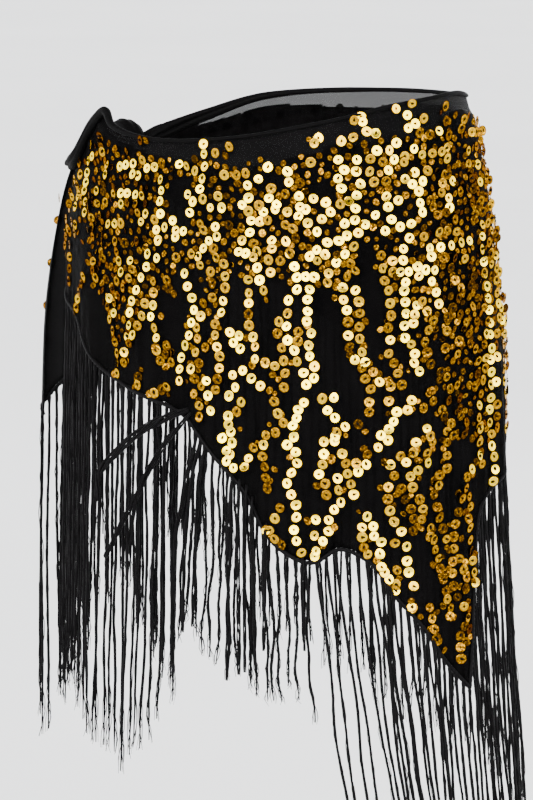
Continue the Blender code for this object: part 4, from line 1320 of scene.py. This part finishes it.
def lock_lines(row, read, random):
    """Lines of the threads twisted into one lock."""
    threads, half_width, half_depth, proud = row[:4]
    way = np.column_stack(read(row[4:]))
    bends = np.column_stack((np.linspace(0.0, 1.0, len(way)), way))
    drop = np.linspace(0.0, 1.0, LOCK_STATIONS)
    angle, height = smooth_column(bends, drop, 1), smooth_column(bends, drop, 2)
    out = (wrap_out(np.full_like(angle, way[0, 0]), 1.0)
           + (proud - 0.001) * np.minimum(drop * 6.0, 1.0))
    middle = hip_points(angle, height, out)
    outward = outward_at(angle, height, out)
    across = unit(np.cross(unit(np.gradient(middle, axis=0)), outward))
    length = np.linalg.norm(np.diff(middle, axis=0), axis=1).sum()
    own = random.uniform(0.45, 1.0, (threads, 1))
    turn = (even_turn(threads)[:, None] + drop * length * LOCK_TURNS
            + 0.8 * np.sin(drop * 9.0 + 6.0 * own))
    spread = own * (0.45 + 0.55 * np.minimum(drop * 7.0, 1.0) - 0.5 * np.maximum(drop - 0.7, 0.0))
    centres = round_centre(middle, across, outward, half_width * spread, half_depth * spread, turn)
    return centres, np.broadcast_to(outward, centres.shape)


def loose_lines(centres, outward, cord, threads, random):
    """Loose threads that wander round each strand and part from it at its end."""
    along = unit(np.gradient(centres, axis=1))
    across = unit(np.cross(along, outward))
    lines = []
    drop = STATIONS[None, :]
    for _ in range(threads):
        own = random.uniform(-1.0, 1.0, (5, len(centres), 1))
        turn = 3.1 * own[0] + drop * (30.0 + 12.0 * own[1])
        stray = cord * (0.42 + 0.16 * own[2])
        stray = stray + 0.0035 * np.maximum(drop - 0.8, 0.0) * (2.0 + own[3])
        stray = stray + 0.0016 * np.maximum(own[4] - 0.4, 0.0) * np.sin(math.pi * drop)
        line = round_centre(centres, across, outward, stray, stray, turn)
        line[..., 2] -= 0.012 * (0.4 + 0.6 * own[3]) * np.maximum(drop - 0.7, 0.0)
        lines.append(line[:, 1:])
    return np.concatenate(lines), np.tile(outward[:, 1:], (threads, 1, 1))


def strand_mesh(strands, locks, settings, random):
    """Points and faces of strands with their loose threads, and of the locks' threads."""
    centres, outward = strands
    fall = STATIONS[None, :]
    own = random.uniform(0.86, 1.14, (len(centres), 1))
    knot = 0.42 * np.exp(-((fall - 0.012) / 0.010) ** 2)
    uneven = 0.09 * np.sin(fall * 31.0 + own * 60.0) + 0.06 * np.sin(fall * 73.0 + own * 90.0)
    thin = 0.62 * np.maximum(fall - 0.86, 0.0) / 0.14
    radii = 0.5 * settings.cord * own * (1.0 + knot + uneven - thin)
    points = [tube_rings(centres, outward, radii, *STRAND_TWIST).reshape(-1, 3)]
    faces = tube_faces(len(centres), len(STATIONS), STRAND_TWIST[0])
    groups = [(loose_lines(centres, outward, settings.cord, settings.threads, random),
               THREAD_SIDES, settings.thread)]
    read = chart_reader(LOCK_PROUD) if locks else None
    groups += [(lock_lines(row, read, random), LOCK_SIDES, 1.7 * settings.thread)
               for row in locks]
    for (lines, facing), sides, thickness in groups:
        start = sum(len(part) for part in points)
        count, stations = lines.shape[:2]
        radii = 0.5 * thickness * random.uniform(0.8, 1.25, (count, 1)) * np.ones((1, stations))
        radii[:, -1] *= 0.5
        points.append(tube_rings(lines, facing, radii, sides).reshape(-1, 3))
        faces += tube_faces(count, stations, sides, start)
    return np.concatenate(points), faces


class SCARF_OT_fringe(bpy.types.Operator):
    """Hang the fringe of twisted strands from its braid along the hem"""
    bl_idname = "scarf.fringe"
    bl_label = "Fringe"

    def execute(self, context):
        settings = context.scene.scarf_fringe
        finish = thread_finish(settings.colour)
        random = np.random.RandomState(settings.seed)
        roots = np.concatenate((even_angles(FIRST_ANGLE, POINT_ANGLE),
                                even_angles(POINT_ANGLE, LAST_ANGLE)[1:]))
        swept = (roots > SWEPT_ROOTS[0]) & (roots < SWEPT_ROOTS[1])
        for node, first, last in FRINGE_RUNS:
            here = (roots > first + 0.05) & (roots < last + 0.05) & (roots < LAST_ANGLE - 0.05)
            strands = hanging_lines(roots[here & ~swept], random)
            locks = LOCKS if node == "fringe_front" else ()
            points, faces = strand_mesh(strands, locks, settings, random)
            threads = add_piece(node + "_threads", points, faces, finish)
            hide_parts(node)

        angles = np.concatenate([np.linspace(*run) for run in BRAID_RUNS])
        height = hem_height(angles) - BRAID_DROP
        out = wrap_out(angles, 1.0) - 0.0002
        rings = tube_rings(hip_points(angles, height, out)[None],
                           outward_at(angles, height, out)[None], 0.5 * settings.braid,
                           *BRAID_TWIST)
        braid = add_piece("hem_braid", rings, tube_faces(1, len(angles), BRAID_TWIST[0]), finish)

        for side, table, _, _, _ in TAILS:
            points, faces = strand_mesh(tail_lines(table, random), (), settings, random)
            hem = tail_points(table, np.linspace(0.004, 0.996, 240), 1.0)
            hem += (0.0006, 0.0, -TAIL_BRAID_DROP)
            outward = np.broadcast_to(TAIL_FACING, hem[None].shape)
            rings = tube_rings(hem[None], outward, 0.5 * settings.braid, *TAIL_BRAID_TWIST)
            faces += tube_faces(1, len(hem), TAIL_BRAID_TWIST[0], len(points))
            points = np.concatenate((points, rings.reshape(-1, 3)))
            threads = add_piece("fringe_tail_" + side + "_threads", points, faces, finish)
            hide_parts("fringe_tail_" + side)
        return {"FINISHED"}


def tail_lines(table, random):
    """Lines of the strands that hang from a tail's hem."""
    across = np.linspace(0.02, 0.98, TAIL_STRANDS)
    drop = STATIONS[None, :]
    root = tail_points(table, across, 1.0)
    root[:, 2] -= TAIL_BRAID_DROP
    middles, pull = lean_together(across, random, TAIL_CLUMP)
    own = random.uniform(-1.0, 1.0, (4, len(across), 1))
    gathered = (tail_points(table, middles, 1.0) - root)[:, None, :] * (
        pull[:, None] * np.sin(0.5 * math.pi * drop))[..., None]
    gathered[..., 2] *= 0.2
    swing = np.interp(drop, FALL_DROPS, FALL_SWINGS)
    length = TAIL_FRINGE_LENGTH * (1.0 + 0.05 * own[0])
    wave = LONG_WAVE * np.sin(drop * (6.0 + 2.0 * own[3]) + 6.0 * own[2])
    wave = wave * np.minimum(drop * 5.0, 1.0)
    fall = np.stack((-TAIL_FRINGE_FLARE * swing * (1.0 + 0.4 * own[1]),
                     0.0025 * own[2] * swing + wave, -length * drop), axis=-1)
    centres = root[:, None, :] + gathered + fall
    return centres, np.broadcast_to(TAIL_FACING, centres.shape)


# ---- Sewing the sequins ---------------------------------------------------------------------------
def sequin_shape(size, hole, cup, sides):
    """A thin disc with a hole: its points, its faces and how much of its tone each point keeps, less
    round the hole, on the rim and on the back, which paints shade there.
    """
    outer, inner = 0.5 * size, 0.5 * hole
    # Columns: radius, height, share of the tone; the lower shares paint shade round the hole, on the
    # rim and on the back.
    section = np.array((
        (inner, 0.0, 0.6),
        (0.36 * outer, 0.0, 1.0),
        (0.90 * outer, cup, 1.0),
        (outer, 0.2 * cup, 0.35),
        (outer, -SEQUIN_SKIN, 0.0),
        (inner, -SEQUIN_SKIN, 0.6),
    ))
    around = even_turn(sides)
    points = np.stack((section[:, None, 0] * np.cos(around), section[:, None, 0] * np.sin(around),
                       np.broadcast_to(section[:, None, 1], (len(section), sides))), axis=-1)
    return points.reshape(-1, 3), closed_grid(len(section), sides), np.repeat(section[:, 2], sides)


def stitch_shape(size, hole):
    """The black thread that comes up through a sequin's hole and lies over its face."""
    way = np.array(((0.0, 0.0, -0.0004), (0.0, 0.0, 0.0003), (0.10, 0.0, 0.0006),
                    (0.17, 0.0, 0.0003), (0.22, 0.0, 0.0000)))
    way[:, 0] *= size
    radii = hole * np.array((0.30, 0.38, 0.30, 0.20, 0.10))
    outward = np.broadcast_to((0.0, 1.0, 0.0), way[None].shape)
    faces = np.array(tube_faces(1, len(way), 4))
    points = tube_rings(way[None], outward, radii[None], 4).reshape(-1, 3)
    return points, faces, np.zeros(len(points))


def along_string(angles, heights, pitch):
    """Places a pitch apart along a string with these bends, or the one place it has."""
    if len(angles) == 1:
        return angles, heights
    share = np.arange(len(angles))
    fine = np.linspace(0.0, len(angles) - 1.0, 24 * len(angles))
    fine_angles, fine_heights = np.interp(fine, share, angles), np.interp(fine, share, heights)
    run = length_along(hip_points(fine_angles, fine_heights, SEQUIN_OUT))
    count = max(round(run[-1] / pitch), 1)
    stops = np.linspace(0.0, run[-1], count + 1)
    return np.interp(stops, run, fine_angles), np.interp(stops, run, fine_heights)


def is_bare(angle, height):
    """Whether each place lies in one of the bare patches."""
    bare = np.zeros(len(angle), bool)
    for patch_angle, patch_height, half_width, half_height in BARE_PATCHES:
        across = (angle - patch_angle) * HIP_ARC / half_width
        down = (height - patch_height) / half_height
        bare |= across * across + down * down < 1.0
    return bare


def toned(tone, spread, random):
    """A tone near this one, from 0 for deep amber in painted shade to 1 for pale gold with a painted
    highlight.
    """
    return min(max(tone + random.normal(0.0, spread), 0.0), 1.0)


def charted_rows(random):
    """Angle, height, tone and smallness of the sequins on the charted strings."""
    rows = []
    read = chart_reader(SEQUIN_PROUD)
    for tone, beside, strings in STRING_TONES:
        for bends in strings:
            for angle, height in zip(*along_string(*read(bends), SEQUIN_PITCH)):
                rows.append((angle, height, toned(tone, 0.17, random), False))
                # A small sequin beside it gets a low tone, which paints shade on it under the others'
                # edges.
                if random.uniform() < beside:
                    way, off = random.uniform(0.0, 2.0 * math.pi), random.uniform(*SMALL_OFFSETS)
                    rows.append((angle + off * math.cos(way) / HIP_ARC, height + off * math.sin(way),
                                 random.uniform(0.0, 0.35), True))
    return rows


def hanging_rows(random):
    """The same for strings that wander down the sides and the back."""
    rows = []
    for first, last, shortest, longest, top_share in HANGING_STRINGS:
        angle = first
        while angle < last:
            height = float(cloth_height(angle, top_share + random.uniform(-0.14, 0.10)))
            reach = 1.0 if random.uniform() < 0.55 else random.uniform(0.55, 0.9)
            low = float(max(cloth_height(angle, reach),
                            hem_height(angle) + random.uniform(0.005, 0.018)))
            tone, way, drift = random.uniform(0.25, 1.0), [(angle, height)], random.normal(0.0, 0.7)
            while height > low + 0.010:
                height -= random.uniform(0.009, 0.022)
                drift = 0.5 * drift + random.normal(0.0, 1.3)
                way.append((way[-1][0] + drift, max(height, low)))
            way = np.array(way)
            for place in zip(*along_string(way[:, 0], way[:, 1], SEQUIN_PITCH)):
                if random.uniform() < 0.94:
                    rows.append((*place, toned(tone, 0.2, random), False))
            angle += random.uniform(shortest, longest)
    return rows


def sequin_places(random):
    """Angle, height, tone and smallness of every sequin on the wrap."""
    rows = charted_rows(random) + hanging_rows(random)
    count = len(rows)
    taken = np.zeros((MOST_SEQUINS, 3))
    taken[:count] = hip_points(*np.array(rows, float)[:, :2].T, SEQUIN_OUT)
    for first, last, top_share, spacing, low_tone, high_tone, small in SEQUIN_FILL:
        tries = int((last - first) * (SMALL_TRIES if small else FULL_TRIES))
        angles = random.uniform(first, last, tries)
        edge = straight_column(FILL_EDGE, angles, 1)
        shares = random.uniform(0.0, 1.0, tries) * (edge - top_share) + top_share
        shares = shares + 0.02 * np.sin(angles * 1.3)
        tones = random.uniform(low_tone, high_tone, tries)
        heights = cloth_height(angles, shares)
        spots = hip_points(angles, heights, SEQUIN_OUT)
        for number in np.flatnonzero((shares < 0.96) & ~is_bare(angles, heights)):
            gaps = taken[:count] - spots[number]
            if (np.einsum("ij,ij->i", gaps, gaps) < spacing * spacing).any():
                continue
            rows.append((angles[number], heights[number], tones[number], small))
            taken[count] = spots[number]
            count += 1
    return np.array(rows)


def sequin_mesh(points, outward, along, tones, tipping, small, settings, random):
    """Points, faces, slots and tones of sequins, each tipped its own way on its thread."""
    count = len(points)
    level = unit(outward * (1.0, 1.0, 0.0))
    pitch = np.where(tones > BRIGHT_TONE, random.normal(*BRIGHT_PITCH, count),
                     random.normal(*DARK_PITCH, count))
    yaw = random.normal(0.0, 1.0, count) * (4.0 + 10.0 * (1.0 - tones))
    if small:
        pitch, yaw = random.normal(0.0, 12.0, count), random.normal(0.0, 12.0, count)
    yaw = np.clip(yaw, -MOST_TIP, MOST_TIP) + tipping[:, 1] * random.uniform(-1.0, 0.1, count)
    pitch, yaw = np.radians(np.clip(pitch, -MOST_TIP, MOST_TIP)), np.radians(yaw)
    facing = unit(level + UP * np.tan(pitch)[:, None] + along * np.tan(yaw)[:, None])
    facing = unit(outward + (facing - outward) * tipping[:, :1])
    tip = np.sqrt(np.maximum(1.0 - (facing * outward).sum(axis=1) ** 2, 0.0))
    first = unit(along - facing * (along * facing).sum(axis=1, keepdims=True))
    second = np.cross(facing, first)
    spin = random.normal(1.6, 0.9, count)[:, None]
    first, second = (first * np.cos(spin) + second * np.sin(spin),
                     second * np.cos(spin) - first * np.sin(spin))
    sides, sizes, narrowest, hole_share, lift = SMALL_SEQUIN if small else FULL_SEQUIN
    size = random.uniform(*sizes, count)
    squash = random.uniform(narrowest, 1.0, count)
    rise = lift + 0.42 * settings.size * size * tip + random.uniform(0.0, 0.0006, count)
    centre = points + outward * rise[:, None]
    shapes = [sequin_shape(settings.size, settings.hole * hole_share, settings.cup, sides)]
    if not small:
        shapes.append(stitch_shape(settings.size, settings.hole))
    verts, faces, slots, values, start = [], [], [], [], 0
    for slot, (local, local_faces, painted_shade_keep) in enumerate(shapes):
        local = local[None] * size[:, None, None]
        if slot:
            local = local * random.uniform(0.7, 1.5, (count, 1, 1))
        else:
            local = local * np.stack((np.ones(count), squash, np.ones(count)), axis=-1)[:, None]
        verts.append((centre[:, None] + local[..., 0:1] * first[:, None]
                      + local[..., 1:2] * second[:, None]
                      + (local[..., 2:3] - 0.4 * settings.cup) * facing[:, None]).reshape(-1, 3))
        numbers = local_faces[None] + (np.arange(count) * len(painted_shade_keep))[:, None, None] + start
        faces.append(numbers.reshape(-1, 4))
        slots.append(np.full(count * len(local_faces), slot))
        values.append((tones[:, None] * painted_shade_keep).ravel())
        start += count * len(painted_shade_keep)
    return tuple(np.concatenate(part) for part in (verts, faces, slots, values))


def sew_sequins(name, sewn, settings, random, finishes):
    """One joined mesh of sequins, the small ones among them.

    Sewn holds their points, outward and along directions, tones, tipping and smallness.
    """
    small = sewn[-1]
    parts = [sequin_mesh(*(part[kind] for part in sewn[:-1]), is_small, settings, random)
             for is_small, kind in ((False, small < 0.5), (True, small > 0.5)) if kind.any()]
    verts, faces, slots, values = zip(*parts)
    starts = np.cumsum([0] + [len(part) for part in verts[:-1]])
    faces = np.concatenate([part + start for part, start in zip(faces, starts)])
    piece = add_piece(name, np.concatenate(verts), faces.tolist(), finishes[0], sharp=14.0)
    piece.data.materials.append(finishes[1])
    piece.data.polygons.foreach_set("material_index", np.concatenate(slots))
    tone = piece.data.attributes.new("tone", "FLOAT", "POINT")
    tone.data.foreach_set("value", np.concatenate(values).astype(np.float32))


class SCARF_OT_sequins(bpy.types.Operator):
    """Sew the strings of sequins on the wrap and on the tails"""
    bl_idname = "scarf.sequins"
    bl_label = "Sequins"

    def execute(self, context):
        settings = context.scene.scarf_sequins
        random = np.random.RandomState(settings.seed)
        finishes = (sequin_finish(settings.deep, settings.middle, settings.pale),
                    bpy.data.materials["fringe_thread_finish"])
        angle, height, tones, small = sequin_places(random).T
        angle = angle + random.normal(0.0, UNEVEN_ANGLE, len(angle))
        height = height + random.normal(0.0, UNEVEN_HEIGHT, len(angle))
        top, hem = wrap_top(angle), hem_height(angle)
        share = np.clip((height - top) / (hem - top), 0.0, 0.99)
        tipping = np.stack([straight_column(SEQUIN_TIPPING, angle, n) for n in (1, 2)], axis=-1)
        sewn = (wrap_points(angle, share), *wrap_frame(angle, share), tones, tipping, small)
        for name, first, last in SEQUIN_PIECES:
            here = (angle >= first) & (angle < last)
            if not here.any():
                raise RuntimeError("no sequins between %g and %g degrees" % (first, last))
            sew_sequins(name, [part[here] for part in sewn], settings, random, finishes)
        for side, table, _, _, _ in TAILS:
            rows = []
            for across in np.linspace(0.08, 0.92, TAIL_STRINGS):
                down = TAIL_STRING_TOP + random.uniform(-0.05, 0.05)
                while down < TAIL_STRING_END:
                    rows.append((across + random.uniform(-0.03, 0.03), down))
                    down += random.uniform(*TAIL_STRING_STEPS)
            across, down = np.array(rows).T
            spots = tail_points(table, across, down)
            slope = unit(tail_points(table, across, down + 0.01)
                         - tail_points(table, across, down - 0.01))
            along = unit(tail_points(table, across + 0.01, down)
                         - tail_points(table, across - 0.01, down))
            outward = unit(np.cross(slope, along))
            outward = np.where(outward[:, :1] > 0.0, -outward, outward)
            along = unit(np.cross(outward, slope))
            sewn = (spots, outward, along, random.uniform(0.1, 1.0, len(rows)),
                    np.tile(TAIL_TIPPING, (len(rows), 1)), np.zeros(len(rows)))
            sew_sequins("sequins_tail_" + side, sewn, settings, random, finishes)
        return {"FINISHED"}


# ---- Looking up the pieces on the wrap --------------------------------------------------------------
class SCARF_OT_declare(bpy.types.Operator):
    """Look up the pieces that hang on the wrap; nothing is done with them"""
    bl_idname = "scarf.declare"
    bl_label = "State the cut"

    def execute(self, context):
        objects = bpy.data.objects
        on_wrap = [objects[name] for name, _, _ in SEQUIN_PIECES]
        on_wrap += [objects[node + "_threads"] for node, _, _ in FRINGE_RUNS]
        on_wrap += [objects["hem_braid"], objects["waist_hem"]]
        return {"FINISHED"}


# ---- Studio -----------------------------------------------------------------------------------------
FLOOR_RADIUS, FLOOR_SIDES = 90.0, 96
# Columns: name, place, power in watts.
SOFT_LIGHTS = (
    ("studio_key", (0.6, -4.2, 1.5), 60.0),
    ("studio_back", (-1.2, 4.0, 1.6), 40.0),
)


def studio_air(strength, band_top):
    """Air that glows in a soft band from the floor up to band_top degrees, and is dim above."""
    world = bpy.data.worlds.new("studio_air")
    world.use_nodes = True
    nodes, links = world.node_tree.nodes, world.node_tree.links
    way = nodes.new("ShaderNodeTexCoord")
    parts = nodes.new("ShaderNodeSeparateXYZ")
    links.new(way.outputs["Generated"], parts.inputs["Vector"])
    top = math.sin(math.radians(band_top))
    air = colour_through(nodes, links, parts.outputs["Z"], (top, (0.95, 0.97, 1.0)),
                         (top + 0.10, (0.03, 0.03, 0.03)))
    links.new(air, nodes["Background"].inputs["Color"])
    ahead = nodes.new("ShaderNodeVectorMath")
    ahead.operation = "DOT_PRODUCT"
    ahead.inputs[1].default_value = view_back()
    links.new(way.outputs["Generated"], ahead.inputs[0])
    glow = value_between(nodes, links, ahead.outputs["Value"], 0.3 * strength, strength,
                         -0.35, 0.35)
    links.new(glow, nodes["Background"].inputs["Strength"])
    return world


def look_along(thing, way):
    """Turn a light or a camera to look this way, with its top up."""
    thing.rotation_euler = way.to_track_quat("-Z", "Y").to_euler()


def soft_light(name, place, power):
    """A soft panel of light that faces the scarf from this place."""
    lamp = bpy.data.lights.new(name, "AREA")
    lamp.shape = "RECTANGLE"
    lamp.size, lamp.size_y = 2.4, 1.8
    lamp.energy = power
    light = add_object(name, lamp)
    light.location = place
    look_along(light, Vector((0.0, 0.0, -0.2)) - Vector(place))


class SCARF_OT_studio(bpy.types.Operator):
    """Set the pale floor, the soft lights and the camera"""
    bl_idname = "scarf.studio"
    bl_label = "Studio"

    def execute(self, context):
        settings = context.scene.scarf_studio
        mesh = bpy.data.meshes.new("studio_floor")
        rim = [(FLOOR_RADIUS * math.cos(turn), FLOOR_RADIUS * math.sin(turn),
                settings.floor_height) for turn in even_turn(FLOOR_SIDES)]
        mesh.from_pydata(rim, [], [tuple(range(FLOOR_SIDES))])
        material, nodes, links, shader = new_finish("studio_floor_finish", 0.9)
        shade = noise_from(nodes, links, scale=0.8, detail=2.0)
        paint = colour_through(nodes, links, shade.outputs["Fac"], (0.3, (0.90, 0.90, 0.90)),
                               (0.7, (0.93, 0.93, 0.93)))
        links.new(paint, shader.inputs["Base Color"])
        mesh.materials.append(material)
        floor = add_object("studio_floor", mesh)

        context.scene.world = studio_air(strength=11.0, band_top=21.0)
        sun = bpy.data.lights.new("studio_sun", "SUN")
        sun.energy = 5.0
        sun.angle = math.radians(25.0)
        above = add_object("studio_sun", sun)
        above.rotation_euler = (math.radians(38.0), 0.0, math.radians(15.0))
        for name, place, power in SOFT_LIGHTS:
            soft_light(name, place, power)

        camera = bpy.data.cameras.new("studio_camera")
        camera.sensor_width = VIEW_SENSOR
        camera.lens = settings.lens
        camera.clip_end = 300.0
        camera.dof.use_dof = False
        eye = add_object("studio_camera", camera)
        back = Vector(view_back(settings.camera_azimuth, settings.camera_rise))
        eye.location = Vector(VIEW_AIM) + back * settings.camera_distance
        look_along(eye, -back)
        context.scene.camera = eye
        return {"FINISHED"}


# ---- Panel and start --------------------------------------------------------------------------------
class SCARF_PT_panel(bpy.types.Panel):
    """Buttons and sizes for the hip scarf"""
    bl_idname = "SCARF_PT_panel"
    bl_label = "Hip scarf"
    bl_space_type = "VIEW_3D"
    bl_region_type = "UI"
    bl_category = "Hip scarf"

    def draw(self, context):
        scene = context.scene
        for title, group, operators in PANEL_ROWS:
            box = self.layout.box()
            box.label(text=title)
            settings = getattr(scene, group)
            for name in settings.__annotations__:
                box.prop(settings, name)
            for operator in operators:
                box.operator(operator)


# Columns: title, settings, buttons.
PANEL_ROWS = (
    ("Cloth", "scarf_cloth", ("scarf.wrap", "scarf.knot", "scarf.tails")),
    ("Fringe", "scarf_fringe", ("scarf.fringe",)),
    ("Sequins", "scarf_sequins", ("scarf.sequins", "scarf.declare")),
    ("Studio", "scarf_studio", ("scarf.studio",)),
)
SETTINGS = (
    ("scarf_cloth", ScarfCloth),
    ("scarf_fringe", ScarfFringe),
    ("scarf_sequins", ScarfSequins),
    ("scarf_studio", ScarfStudio),
)
OPERATORS = (SCARF_OT_wrap, SCARF_OT_knot, SCARF_OT_tails, SCARF_OT_fringe, SCARF_OT_sequins,
             SCARF_OT_declare, SCARF_OT_studio)


def register():
    for name, settings in SETTINGS:
        bpy.utils.register_class(settings)
        setattr(bpy.types.Scene, name, bpy.props.PointerProperty(type=settings))
    for operator in OPERATORS:
        bpy.utils.register_class(operator)
    bpy.utils.register_class(SCARF_PT_panel)


def unregister():
    bpy.utils.unregister_class(SCARF_PT_panel)
    for operator in reversed(OPERATORS):
        bpy.utils.unregister_class(operator)
    for name, settings in reversed(SETTINGS):
        delattr(bpy.types.Scene, name)
        bpy.utils.unregister_class(settings)


def main():
    register()
    bpy.ops.scarf.wrap()
    bpy.ops.scarf.knot()
    bpy.ops.scarf.tails()
    bpy.ops.scarf.fringe()
    bpy.ops.scarf.sequins()
    bpy.ops.scarf.declare()
    bpy.ops.scarf.studio()


if __name__ == "__main__":
    main()
